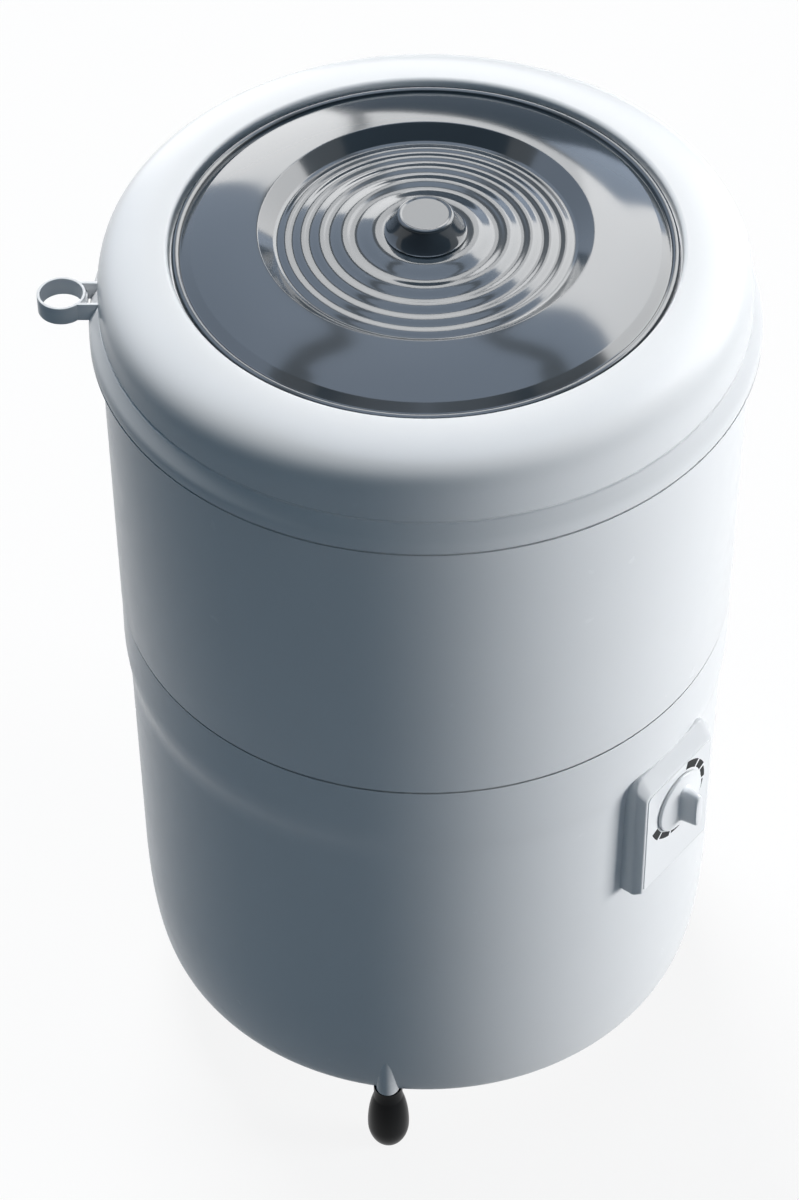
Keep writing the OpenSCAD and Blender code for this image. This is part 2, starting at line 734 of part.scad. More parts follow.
module timer_shaft() color(steel) {
    back = panel_y - box_wall - timer_case_d + 1;
    out_of_panel(0, z_dial, back) difference() {
        cylinder(r = timer_shaft_r, h = panel_plate_y + 14 - back);
        translate([timer_shaft_r * 0.6, -5, panel_plate_y + 1 - back]) cube([5, 10, 20]);
    }
}

module timer_knob() color(panel_white) {
    foot = panel_plate_y + play;
    out_of_panel(0, z_dial, foot) difference() {
        union() {
            revolve([[0, 0], [knob_skirt_r, 0], [knob_skirt_r, knob_rim_h - 0.8], [knob_skirt_r - 0.8, knob_rim_h],
                [knob_skirt_r - 5, knob_rim_h + 1], [knob_skirt_r - 12, knob_dish_h - 0.6],
                [knob_skirt_r - 15, knob_dish_h], [0, knob_dish_h]]);
            intersection() {
                translate([0, grip_l / 2, 0]) rotate([90, 0, 0]) linear_extrude(grip_l)
                    polygon([[-grip_foot_w / 2, 1], [-grip_top_w / 2, grip_h - 1.5], [-grip_top_w / 2 + 1.5, grip_h],
                        [grip_top_w / 2 - 1.5, grip_h], [grip_top_w / 2, grip_h - 1.5], [grip_foot_w / 2, 1]]);
                linear_extrude(grip_h + 1) {
                    square([grip_foot_w, grip_l - grip_foot_w], center = true);
                    translate([0, grip_l / 2 - grip_foot_w / 2]) circle(r = grip_foot_w / 2);
                    translate([0, -grip_l / 2 + grip_foot_w / 2]) circle(r = grip_foot_w / 2);
                }
            }
        }
        difference() {
            translate([0, 0, -overlap]) cylinder(r = timer_shaft_r + 0.03, h = 13.6 + overlap);
            translate([timer_shaft_r * 0.6 + 0.05, -5, 1]) cube([5, 10, 20]);
        }
    }
}

module wash_tub() color(tub_blue) {
    inner_corner = [for (i = [0:8]) let (t = 90 * i / 8)
        [tub_base_r - tub_corner_r + tub_corner_r * sin(t) + 0.8, tub_floor_z + tub_corner_r * (1 - cos(t))]];
    outer_corner = [for (i = [8:-1:0]) let (t = 90 * i / 8)
        [tub_base_r - tub_corner_r + (tub_corner_r + tub_wall) * sin(t) + 0.8,
            tub_floor_z + tub_corner_r - (tub_corner_r + tub_wall + 1) * cos(t)]];
    difference() {
        union() {
            revolve(concat(
                [[0, tub_floor_z]], inner_corner,
                [[tub_top_r, z_tub_flange + tub_flange_t], [tub_flange_r, z_tub_flange + tub_flange_t],
                 [tub_flange_r, z_tub_flange], [tub_top_r + tub_wall, z_tub_flange]],
                outer_corner, [[0, z_tub_under]]
            ));
            // Scrubbing ribs, swelling out of the wall between two rounded ends
            intersection() {
                revolve([
                    [tub_base_r - rib_out, tub_floor_z + tub_corner_r + 10],
                    [tub_r(z_rib_top) - rib_out, z_rib_top - 20], [tub_r(z_rib_top) + 1, z_rib_top],
                    [tub_base_r + 2, tub_floor_z + tub_corner_r - 8]
                ]);
                around(spread(tub_ribs, 15), tub_base_r + 12)
                    translate([0, 0, tub_floor_z]) cylinder(r = 20, h = z_rib_top - tub_floor_z);
            }
            difference() {
                for (p = plate_posts)
                    translate([p[0], p[1], z_plate]) cylinder(r = plate_post_r, h = z_tub_under - z_plate + 24);
                revolve(concat([[0, tub_floor_z - 1]], inner_corner, [[tub_top_r, z_tub_flange], [0, z_tub_flange]]));
            }
            // Sump collar that the drain pipe seats in
            translate([drain_x, drain_y, z_tub_under - sump_h]) cylinder(r = drain_r + 5, h = sump_h + 1);
        }
        translate([0, 0, z_tub_under - overlap]) cylinder(r = nose_r + loose, h = 20);
        around(spread(4, 45), housing_flange_r - 9)
            translate([0, 0, z_tub_under - overlap]) cylinder(r = bolt_r + 0.2, h = 20);
        around(spread(ring_screw_count, 0), screw_circle_r)
            translate([0, 0, z_tub_flange - overlap]) cylinder(r = ring_screw_r + 0.2, h = tub_flange_t + 2 * overlap);
        translate([drain_x, drain_y, z_tub_under - sump_h - overlap])
            cylinder(r = drain_r + 0.2, h = sump_h + 2 + overlap);
        translate([drain_x, drain_y, z_tub_under]) cylinder(r = drain_r - drain_wall, h = 20);
        translate([drain_x, drain_y, tub_floor_z - 1.2]) cylinder(r = drain_r + 6.3, h = 5);
        for (p = plate_posts)
            translate([p[0], p[1], z_plate - overlap]) cylinder(r = 2, h = plate_bolt_l + 3);
    }
}

module drain_grate() color(tub_blue) {
    r = drain_r + 6;
    translate([drain_x, drain_y, tub_floor_z - 1.2]) difference() {
        cylinder(r = r, h = 2.4);
        for (a = spread(8, 0)) rotate([0, 0, a]) translate([12, 0, -overlap]) cylinder(r = 2, h = 5);
        for (a = spread(6, 15)) rotate([0, 0, a]) translate([6, 0, -overlap]) cylinder(r = 1.6, h = 5);
        translate([0, 0, -overlap]) cylinder(r = 1.6, h = 5);
    }
}

// The drain pipe's whole bore or outside, down from the tub and out to the rear
module drain_route(r, over) {
    translate([0, 0, spigot_z + drain_bend]) cylinder(r = r, h = z_tub_under - loose - spigot_z - drain_bend + over);
    translate([0, drain_bend, spigot_z + drain_bend]) rotate([-90, 0, -90])
        rotate_extrude(angle = 90) translate([drain_bend, 0]) circle(r = r);
    translate([0, drain_bend, spigot_z]) rotate([-90, 0, 0])
        cylinder(r = r, h = spigot_end_y - drain_y - drain_bend + over);
}

module drain_pipe() color([0.7, 0.72, 0.75]) {
    translate([drain_x, drain_y, 0]) difference() {
        union() {
            drain_route(drain_r, 0);
            translate([0, 0, z_drain_flange]) cylinder(r = drain_r + 5, h = drain_flange_t);
        }
        drain_route(drain_r - drain_wall, overlap);
    }
}

module drain_nut() color([0.3, 0.32, 0.34]) {
    translate([drain_x, drain_y, z_drain_flange - 9]) difference() {
        cylinder(r = drain_r + 8, h = 9 - loose, $fn = 8);
        translate([0, 0, -overlap]) cylinder(r = drain_r + 0.2, h = 20);
    }
}

module cord_gland() color(rubber) {
    wall_y = sqrt(pow(base_r + corner_in * 0.97, 2) - drain_x * drain_x);
    translate([-drain_x, wall_y, spigot_z]) rotate([-90, 0, 0]) difference() {
        union() {
            revolve([[0, -14], [gland_r + 3, -14], [gland_r + 3, -10], [gland_r, -10], [gland_r, 4.5],
                [gland_r + 3.5, 4.5], [gland_r + 3.5, 8], [gland_r - 1.5, 22], [0, 22]]);
            translate([0, 0, -10 - overlap])
                cylinder(r = gland_r / cos(22.5), h = 14.5 + 2 * overlap, $fn = 8);
        }
        translate([0, 0, -20]) cylinder(r = 3.8, h = 60);
    }
}

module bearing_housing() color(steel) {
    difference() {
        revolve([
            [shaft_r + 1.5, z_barrel_bottom], [barrel_r, z_barrel_bottom], [barrel_r, z_tub_under - housing_flange_t - 6],
            [barrel_r + 6, z_tub_under - housing_flange_t], [housing_flange_r, z_tub_under - housing_flange_t],
            [housing_flange_r, z_tub_under - 0.1], [nose_r, z_tub_under - 0.1], [nose_r, z_nose_top],
            [seal_r + 0.02, z_nose_top], [seal_r + 0.02, z_tub_under + 2], [bearing_r - 3, z_tub_under + 2],
            [bearing_r - 3, z_tub_under], [bearing_r + 0.02, z_tub_under],
            [bearing_r + 0.02, z_tub_under - bearing_w], [bearing_r - 2, z_tub_under - bearing_w],
            [bearing_r - 2, z_lower_bearing + bearing_w], [bearing_r + 0.02, z_lower_bearing + bearing_w],
            [bearing_r + 0.02, z_lower_bearing], [shaft_r + 1.5, z_lower_bearing]
        ]);
        around(spread(4, 45), housing_flange_r - 9)
            translate([0, 0, z_tub_under - housing_flange_t - overlap]) cylinder(r = bolt_r + 0.2, h = 20);
    }
}

module bearing(z0) {
    tube(bearing_r, bearing_r - 2.6, bearing_w, z0);
    tube(shaft_r + 2.6, shaft_r + 0.03, bearing_w, z0);
    tube(bearing_r - 2, shaft_r + 2, bearing_w - 2.4, z0 + 1.2);
}
module upper_bearing() color([0.75, 0.76, 0.78]) bearing(z_upper_bearing);
module lower_bearing() color([0.75, 0.76, 0.78]) bearing(z_lower_bearing);

module shaft_seal() color(rubber) {
    z0 = z_tub_under + 2;
    revolve([[shaft_r + 0.08, z0 + 3], [shaft_r + 3, z0], [seal_r, z0], [seal_r, z_nose_top - 1],
        [seal_r - 2, z_nose_top - 1], [seal_r - 2, z0 + 3], [shaft_r + 2, z0 + 3], [shaft_r + 0.5, z0 + 6],
        [shaft_r + 0.08, z0 + 6]]);
}

module drive_shaft() color(steel) {
    difference() {
        union() {
            translate([0, 0, z_shaft_bottom]) cylinder(r = shaft_r - 2, h = z_pulley_bottom - z_shaft_bottom);
            translate([0, 0, z_pulley_bottom]) cylinder(r = shaft_r, h = z_shaft_top - z_pulley_bottom);
        }
        translate([0, 0, z_shaft_top - 18]) cylinder(r = 2.5, h = 20);
    }
}

module pulsator() color([0.9, 0.93, 0.96]) {
    dish = [
        [0, z_dish], [pulsator_r - 3, z_dish], [pulsator_r, z_dish + 3], [pulsator_r - 1, z_dish + 5],
        [pulsator_r - 4, z_dish + 5.5], [pulsator_r - 12, z_dish + 5], [pulsator_r * 0.6, z_dish + 7],
        [34, z_dish + 11], [22, z_dish + 18], [18, z_hub_top - 2], [16, z_hub_top], [0, z_hub_top]
    ];
    difference() {
        union() {
            revolve(dish);
            intersection() {
                revolve([[10, z_dish + 1], [pulsator_r - 5, z_dish + 1], [pulsator_r - 7, z_dish + 10],
                    [pulsator_r - 14, z_dish + 5 + vane_h], [pulsator_r * 0.62, z_dish + 6 + vane_h],
                    [24, z_dish + hub_h - 4], [10, z_dish + hub_h - 4]]);
                for (a = spread(vanes, 0)) rotate([0, 0, a]) translate([0, 0, z_dish])
                    linear_extrude(hub_h + vane_h) difference() {
                        translate([pulsator_r * 0.5, pulsator_r * 0.62]) circle(r = pulsator_r * 0.66);
                        translate([pulsator_r * 0.5, pulsator_r * 0.72]) circle(r = pulsator_r * 0.7);
                    }
            }
        }
        // Hollow underside round the hub
        revolve([[nose_r + 4, z_dish - 1], [pulsator_r - 6, z_dish - 1], [pulsator_r - 6, z_dish + 1.6],
            [nose_r + 9, z_dish + 6], [nose_r + 4, z_dish + 6]]);
        translate([0, 0, z_dish - overlap]) cylinder(r = nose_r + 2, h = z_nose_top + 1.5 - z_dish + overlap);
        translate([0, 0, z_dish - overlap]) cylinder(r = shaft_r + 0.02, h = z_shaft_top - z_dish + overlap);
        translate([0, 0, z_dish]) cylinder(r = 3.1, h = hub_h + 5);
    }
}

module pulsator_screw() color(steel) {
    translate([0, 0, z_hub_top]) rotate([180, 0, 0]) screw(2.45, 20, 8, 3.4);
}

// Section of a pulley's groove, from its mouth to its bottom
function pulley_profile(r_out, r_groove, hub_r) = [
    [hub_r, 0], [r_out, 0], [r_out, 2.2], [r_groove, pulley_w / 2 - 2.6],
    [r_groove, pulley_w / 2 + 2.6], [r_out, pulley_w - 2.2], [r_out, pulley_w], [hub_r, pulley_w]
];

module driven_pulley() color([0.35, 0.37, 0.4]) {
    r_out = driven_pitch_r + belt_t / 2 + 1;
    r_groove = driven_pitch_r - belt_t / 2 - groove_clear;
    translate([0, 0, z_pulley_bottom]) difference() {
        union() {
            revolve(pulley_profile(r_out, r_groove, r_groove - 6));
            translate([0, 0, pulley_w / 2 - 2]) cylinder(r = r_groove - 5, h = 4);
            cylinder(r = 16, h = pulley_w);
            for (a = spread(5, 0)) rotate([0, 0, a]) translate([14, -2, 3]) cube([r_groove - 19, 4, pulley_w - 6]);
        }
        for (a = spread(5, 36)) rotate([0, 0, a]) translate([37, 0, -overlap]) cylinder(r = 11, h = 30);
        translate([0, 0, -overlap]) cylinder(r = shaft_r + 0.02, h = 40);
    }
}

module shaft_nut() color(steel) {
    translate([0, 0, z_pulley_bottom - nut_h]) difference() {
        cylinder(r = 10, h = nut_h - 0.05, $fn = 6);
        translate([0, 0, -overlap]) cylinder(r = shaft_r - 1.98, h = 20);
    }
}

// Belt section across its run: a wide back outside and a narrow face inside
module belt_section() {
    polygon([[-belt_t / 2, -belt_w / 2 + 2.5], [belt_t / 2, -belt_w / 2], [belt_t / 2, belt_w / 2],
        [-belt_t / 2, belt_w / 2 - 2.5]]);
}

module drive_belt() color(rubber) {
    rotate([0, 0, motor_angle]) translate([0, 0, z_pulley_mid]) {
        rotate([0, 0, 90 - belt_angle]) rotate_extrude(angle = 180 + 2 * belt_angle)
            translate([driven_pitch_r, 0]) belt_section();
        translate([belt_centres, 0, 0]) rotate([0, 0, -90 + belt_angle])
            rotate_extrude(angle = 180 - 2 * belt_angle) translate([motor_pitch_r, 0]) belt_section();
        for (side = [0, 1]) mirror([0, side, 0])
            rotate([0, 0, 90 - belt_angle]) translate([driven_pitch_r, 0, 0]) rotate([90, 0, 0])
                linear_extrude(belt_run) belt_section();
    }
}

module at_motor() {
    rotate([0, 0, motor_angle]) translate([belt_centres, 0, 0]) children();
}

module motor_pulley() color([0.35, 0.37, 0.4]) {
    r_out = motor_pitch_r + belt_t / 2 + 1;
    r_groove = motor_pitch_r - belt_t / 2 - groove_clear;
    at_motor() translate([0, 0, z_pulley_bottom]) difference() {
        revolve(pulley_profile(r_out, r_groove, 0));
        translate([0, 0, -overlap]) cylinder(r = motor_shaft_r + 0.02, h = 40);
    }
}

module motor_shaft() color(steel) {
    at_motor() translate([0, 0, z_motor_top - bell_h * 2 - stator_h + 4])
        cylinder(r = motor_shaft_r, h = z_pulley_top + 2 - (z_motor_top - bell_h * 2 - stator_h + 4));
}

module motor_plate() color(steel) {
    difference() {
        translate([0, 0, z_plate - plate_t]) linear_extrude(plate_t) {
            rotate([0, 0, motor_angle]) translate([belt_centres, 0]) circle(r = motor_r + 6);
            for (p = plate_posts) translate(p) circle(r = plate_post_r + 3);
            for (i = [0, 1, 3]) strip([0, 0], plate_posts[i], plate_arm_w);
            strip(plate_posts[0], plate_posts[2], plate_arm_w);
            strip(plate_posts[1], plate_posts[3], plate_arm_w);
            circle(r = 26);
        }
        at_motor() translate([0, 0, z_plate - plate_t - overlap]) cylinder(r = 16, h = 20);
        translate([0, 0, z_plate - plate_t - overlap]) cylinder(r = 14, h = 20);
        for (p = plate_posts)
            translate([p[0], p[1], z_plate - plate_t - overlap]) cylinder(r = 2.7, h = 20);
        at_motor() around(spread(4, 45), motor_r - 12)
            translate([0, 0, z_plate - plate_t - overlap]) cylinder(r = 2.7, h = 20);
    }
}

// A straight strip of sheet between two points
module strip(a, b, w) {
    d = b - a;
    translate(a) rotate([0, 0, atan2(d[1], d[0])]) translate([0, -w / 2]) square([norm(d), w]);
}

module motor_case() color([0.5, 0.53, 0.56]) {
    z_stator = z_motor_top - bell_h - stator_h;
    at_motor() difference() {
        union() {
            translate([0, 0, z_stator]) cylinder(r = motor_r, h = stator_h);
            revolve([
                [0, z_stator - bell_h], [motor_r * 0.55, z_stator - bell_h], [motor_r * 0.85, z_stator - bell_h * 0.6],
                [motor_r - 3, z_stator - 2], [motor_r - 3, z_stator + 1], [0, z_stator + 1]
            ]);
            revolve([
                [0, z_motor_top - 0.1], [motor_r * 0.55, z_motor_top - 0.1], [motor_r * 0.9, z_motor_top - bell_h * 0.5],
                [motor_r - 3, z_motor_top - bell_h + 2], [motor_r - 3, z_motor_top - bell_h - 1],
                [0, z_motor_top - bell_h - 1]
            ]);
            around(spread(4, 45), motor_r - 12)
                translate([0, 0, z_motor_top - bell_h]) cylinder(r = 6, h = bell_h - 0.1);
            for (a = spread(24, 0)) rotate([0, 0, a])
                translate([motor_r - 2, -1.5, z_stator + 6]) cube([5, 3, stator_h - 12]);
        }
        translate([0, 0, z_stator - bell_h + 4]) cylinder(r = motor_shaft_r + running, h = stator_h + 3 * bell_h);
        around(spread(4, 45), motor_r - 12)
            translate([0, 0, z_motor_top - 12]) cylinder(r = 2.2, h = 20);
    }
}

module capacitor() color([0.2, 0.22, 0.25]) {
    translate([capacitor_at[0], capacitor_at[1], z_case + 2.3]) {
        cylinder(r = capacitor_r, h = capacitor_h);
        for (x = [-8, 5]) translate([x, -2, capacitor_h - overlap]) cube([3, 4, 9 + overlap]);
    }
}

module capacitor_clip() color(steel) {
    translate([capacitor_at[0], capacitor_at[1], z_case]) difference() {
        union() {
            cylinder(r = capacitor_r + 2, h = 22);
            for (a = [0, 180]) rotate([0, 0, a]) translate([capacitor_r, -8, 0]) cube([16, 16, 2]);
        }
        translate([0, 0, 2]) cylinder(r = capacitor_r + 0.3, h = 40);
    }
}

module foot() {
    belly = [for (i = [0:9]) let (t = -70 + 70 * i / 9)
        [foot_r * cos(t), foot_belly_z + foot_belly_z * sin(t) / sin(70)]];
    oval_h = (z_foot_neck - foot_belly_z) / sqrt(1 - pow(foot_neck_r / foot_r, 2));
    shoulder = [for (i = [1:9]) let (rise = (z_foot_neck - foot_belly_z) * i / 9)
        [foot_r * sqrt(1 - pow(rise / oval_h, 2)), foot_belly_z + rise]];
    difference() {
        revolve(concat([[0, 0]], belly, shoulder, [[foot_neck_r, foot_h - 0.05], [0, foot_h - 0.05]]));
        translate([0, 0, foot_h + foot_screw_rise - foot_screw_l - 4])
            cylinder(r = bolt_r + 0.02, h = foot_screw_l + 4);
    }
}
module foot_at(a) {
    rotate([0, 0, a]) translate([foot_offset, 0, 0]) foot();
}
module foot_left() color(rubber) foot_at(foot_angles[0]);
module foot_right() color(rubber) foot_at(foot_angles[1]);
module foot_rear() color(rubber) foot_at(foot_angles[2]);

module ring_screws() color(steel) {
    around(spread(ring_screw_count, 0), screw_circle_r)
        translate([0, 0, z_rim - casing_wall - 0.05]) screw(ring_screw_r - 0.05, ring_screw_l, 3.8, 2.6);
}

module foot_screws() color(steel) {
    around(foot_angles, foot_offset)
        translate([0, 0, z_case + foot_screw_rise + 0.05]) rotate([180, 0, 0]) screw(bolt_r, foot_screw_l, 5, 3);
}

module base_screws() color(steel) {
    around(spread(6, 30), service_r + 6)
        translate([0, 0, z_case - 2.05]) screw(1.55, 10, 3.6, 2);
}

module bearing_bolts() color(steel) {
    around(spread(4, 45), housing_flange_r - 9) {
        translate([0, 0, z_tub_under - housing_flange_t - 0.05])
            screw(bolt_r, housing_flange_t + tub_floor_z - z_tub_under + 1, 4.6, 3.4);
        translate([0, 0, tub_floor_z + 0.05]) difference() {
            cylinder(r = 4.6, h = 2.8, $fn = 6);
            translate([0, 0, -overlap]) cylinder(r = bolt_r + 0.02, h = 1.4 + overlap);
        }
    }
}

module plate_bolts() color(steel) {
    for (p = plate_posts) translate([p[0], p[1], z_plate - plate_t - 0.05]) screw(1.95, plate_bolt_l, 5, 3.2);
}

module motor_bolts() color(steel) {
    at_motor() around(spread(4, 45), motor_r - 12)
        translate([0, 0, z_plate + 0.05]) rotate([180, 0, 0]) screw(2.15, 13, 4.6, 3.2);
}

upper_casing();
lower_casing();
base_plate();
top_ring();
tub_gasket();
lid();
lid_knob();
lid_screw();
hose_holder();
control_box();
dial_plate();
timer_knob();
timer_shaft();
timer_case();
wash_tub();
drain_grate();
drain_pipe();
drain_nut();
cord_gland();
bearing_housing();
upper_bearing();
lower_bearing();
shaft_seal();
drive_shaft();
pulsator();
pulsator_screw();
driven_pulley();
shaft_nut();
drive_belt();
motor_plate();
motor_case();
motor_shaft();
motor_pulley();
capacitor();
capacitor_clip();
foot_left();
foot_right();
foot_rear();
ring_screws();
foot_screws();
base_screws();
box_screws();
timer_screws();
bearing_bolts();
plate_bolts();
motor_bolts();
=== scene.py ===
"""Looks for the round semi-automatic washing machine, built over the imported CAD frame.

Lengths are in metres, +Z is up, the floor is z = 0, and the control panel faces -Y.
"""

import json
import logging
import math
from dataclasses import dataclass, field
from enum import Enum

import bmesh
import bpy
import numpy as np
from mathutils import Matrix, Vector

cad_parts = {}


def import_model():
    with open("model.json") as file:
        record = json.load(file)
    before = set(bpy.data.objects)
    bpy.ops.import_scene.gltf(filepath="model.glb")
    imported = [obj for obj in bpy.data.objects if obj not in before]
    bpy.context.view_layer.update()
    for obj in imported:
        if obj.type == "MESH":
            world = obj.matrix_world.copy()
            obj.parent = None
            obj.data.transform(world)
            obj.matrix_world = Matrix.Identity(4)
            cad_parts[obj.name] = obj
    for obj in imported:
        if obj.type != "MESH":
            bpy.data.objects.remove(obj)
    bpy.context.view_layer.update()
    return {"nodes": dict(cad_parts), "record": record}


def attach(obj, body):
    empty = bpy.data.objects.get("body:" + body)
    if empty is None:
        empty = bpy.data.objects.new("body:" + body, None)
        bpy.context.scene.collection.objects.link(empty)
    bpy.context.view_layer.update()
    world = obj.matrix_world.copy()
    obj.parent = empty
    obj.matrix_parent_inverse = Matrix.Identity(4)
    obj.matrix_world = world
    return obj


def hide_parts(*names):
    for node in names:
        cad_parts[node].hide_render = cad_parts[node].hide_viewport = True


LOG = logging.getLogger("washer")
MM = 0.001
FULL_TURN = 2.0 * math.pi
LATHE_STEPS = 192
INK = "ink"

Colour = tuple[float, float, float]
Triple = tuple[float, float, float]
Surface = tuple[np.ndarray, np.ndarray | list[list[int]]]

WHITE: Colour = (1.0, 1.0, 1.0)
BLUISH: Colour = (0.71, 0.82, 1.0)
EVEN: Triple = (1.0, 1.0, 1.0)
BROAD_OCTAVES = 4.0
FINE_OCTAVES = 3.0
LEAST_ROUGHNESS = 0.02
COAT_ROUGHNESS = 0.06


class Grain(Enum):
    """Fine structure of a surface."""

    MOULDED = "moulded"
    LACQUER = "lacquer"
    BRUSHED = "brushed"
    CAST = "cast"
    RUBBER = "rubber"
    SHEET = "sheet"


@dataclass(frozen=True)
class GrainLook:
    """How one grain shows: its size in metres, its relief in metres and its stretch along X, Y and Z."""

    size: float
    relief: float
    stretch: Triple = EVEN


GRAINS: dict[Grain, GrainLook] = {
    Grain.MOULDED: GrainLook(0.0011, 0.000006),
    Grain.LACQUER: GrainLook(0.0035, 0.000004),
    Grain.BRUSHED: GrainLook(0.0016, 0.00001, (1.0, 1.0, 14.0)),
    Grain.CAST: GrainLook(0.0013, 0.00007),
    Grain.RUBBER: GrainLook(0.0007, 0.00001),
    Grain.SHEET: GrainLook(0.009, 0.00001),
}


@dataclass(frozen=True)
class Finish:
    """One finish, as a procedural material on Object coordinates.

    The base colour is varied by a broad noise, the roughness by a middle one, and a fine noise gives
    the relief.
    """

    name: str
    colour: Colour
    roughness: float
    grain: Grain
    metallic: float = 0.0
    coat: float = 0.0
    specular: float = 0.5
    mottle: float = 0.04
    polish_change: float = 0.05
    mottle_size: float = 0.06

    def build(self) -> bpy.types.Material:
        """Makes the material.

        Returns:
            The new material.
        """
        material = bpy.data.materials.new(self.name)
        material.use_nodes = True
        tree = material.node_tree
        shader = tree.nodes["Principled BSDF"]
        shader.inputs["Metallic"].default_value = self.metallic
        shader.inputs["Coat Weight"].default_value = self.coat
        shader.inputs["Specular IOR Level"].default_value = self.specular
        shader.inputs["Coat Roughness"].default_value = COAT_ROUGHNESS
        look = GRAINS[self.grain]
        place = tree.nodes.new("ShaderNodeTexCoord")
        self._vary_colour(tree, shader, place)
        self._vary_polish(tree, shader, place)
        fine = self._noise(tree, place, look.size, look.stretch, FINE_OCTAVES)
        bump = tree.nodes.new("ShaderNodeBump")
        bump.inputs["Distance"].default_value = look.relief
        tree.links.new(fine.outputs["Fac"], bump.inputs["Height"])
        tree.links.new(bump.outputs["Normal"], shader.inputs["Normal"])
        return material

    def _vary_colour(self, tree: bpy.types.NodeTree, shader: bpy.types.Node, place: bpy.types.Node) -> None:
        """Mixes two close tones of the colour by a broad noise."""
        broad = self._noise(tree, place, self.mottle_size, EVEN, BROAD_OCTAVES)
        mix = tree.nodes.new("ShaderNodeMix")
        mix.data_type = "RGBA"
        mix.inputs["A"].default_value = (*[c * (1.0 - self.mottle) for c in self.colour], 1.0)
        mix.inputs["B"].default_value = (*[min(1.0, c * (1.0 + self.mottle)) for c in self.colour], 1.0)
        tree.links.new(broad.outputs["Fac"], mix.inputs["Factor"])
        tree.links.new(mix.outputs["Result"], shader.inputs["Base Color"])

    def _vary_polish(self, tree: bpy.types.NodeTree, shader: bpy.types.Node, place: bpy.types.Node) -> None:
        """Spreads the roughness round its middle value by a noise a third as broad as the colour's."""
        middle = self._noise(tree, place, self.mottle_size / 3.0, EVEN, FINE_OCTAVES)
        spread = tree.nodes.new("ShaderNodeMapRange")
        spread.inputs["To Min"].default_value = max(LEAST_ROUGHNESS, self.roughness - self.polish_change)
        spread.inputs["To Max"].default_value = min(1.0, self.roughness + self.polish_change)
        tree.links.new(middle.outputs["Fac"], spread.inputs["Value"])
        tree.links.new(spread.outputs["Result"], shader.inputs["Roughness"])

    @staticmethod
    def _noise(tree: bpy.types.NodeTree, place: bpy.types.Node, size: float,
               stretch: Triple, octaves: float) -> bpy.types.Node:
        """Adds a noise with features of about one size.

        Args:
            tree: The material's node tree.
            place: The Texture Coordinate node.
            size: Size of the features in metres.
            stretch: How much longer the features are along each axis.
            octaves: How many finer layers the noise has.

        Returns:
            The noise node.
        """
        mapping = tree.nodes.new("ShaderNodeMapping")
        mapping.inputs["Scale"].default_value = [1.0 / s for s in stretch]
        tree.links.new(place.outputs["Object"], mapping.inputs["Vector"])
        noise = tree.nodes.new("ShaderNodeTexNoise")
        noise.inputs["Scale"].default_value = 1.0 / size
        noise.inputs["Detail"].default_value = octaves
        tree.links.new(mapping.outputs["Vector"], noise.inputs["Vector"])
        return noise


class Finishes:
    """Every finish of the machine, made once."""

    def __init__(self) -> None:
        """Builds the materials by their slot names."""
        self.by_slot: dict[str, bpy.types.Material] = {f.name: f.build() for f in FINISHES}

    def dress(self, piece: bpy.types.Object, slot: str) -> None:
        """Gives a piece one finish.

        Args:
            piece: The object to dress.
            slot: The finish's name.
        """
        piece.data.materials.clear()
        piece.data.materials.append(self.by_slot[slot])


FINISHES: tuple[Finish, ...] = (
    Finish("casing", (0.82, 0.825, 0.832), 0.25, Grain.LACQUER, specular=0.12, mottle=0.012),
    Finish("panel", (0.86, 0.865, 0.872), 0.30, Grain.MOULDED, mottle=0.012),
    Finish("lid", (0.022, 0.034, 0.045), 0.11, Grain.LACQUER, mottle=0.03, polish_change=0.02),
    Finish("tub", (0.56, 0.66, 0.76), 0.28, Grain.MOULDED, mottle=0.03),
    Finish("timer", (0.62, 0.57, 0.44), 0.5, Grain.MOULDED),
    Finish("pipe", (0.055, 0.06, 0.066), 0.42, Grain.MOULDED),
    Finish("foot", (0.006, 0.0065, 0.0075), 0.3, Grain.RUBBER, specular=0.09, mottle=0.15),
    Finish("rubber", (0.016, 0.016, 0.018), 0.55, Grain.RUBBER, mottle=0.2),
    Finish("steel", (0.62, 0.63, 0.65), 0.3, Grain.BRUSHED, metallic=1.0),
    Finish("galvanised", (0.52, 0.54, 0.56), 0.42, Grain.SHEET, metallic=1.0, mottle=0.14,
           mottle_size=0.012),
    Finish("aluminium", (0.60, 0.61, 0.63), 0.44, Grain.CAST, metallic=1.0),
    Finish("motor", (0.075, 0.09, 0.105), 0.4, Grain.LACQUER, coat=0.2),
    Finish(INK, (0.010, 0.011, 0.013), 0.5, Grain.MOULDED, specular=0.2),
)


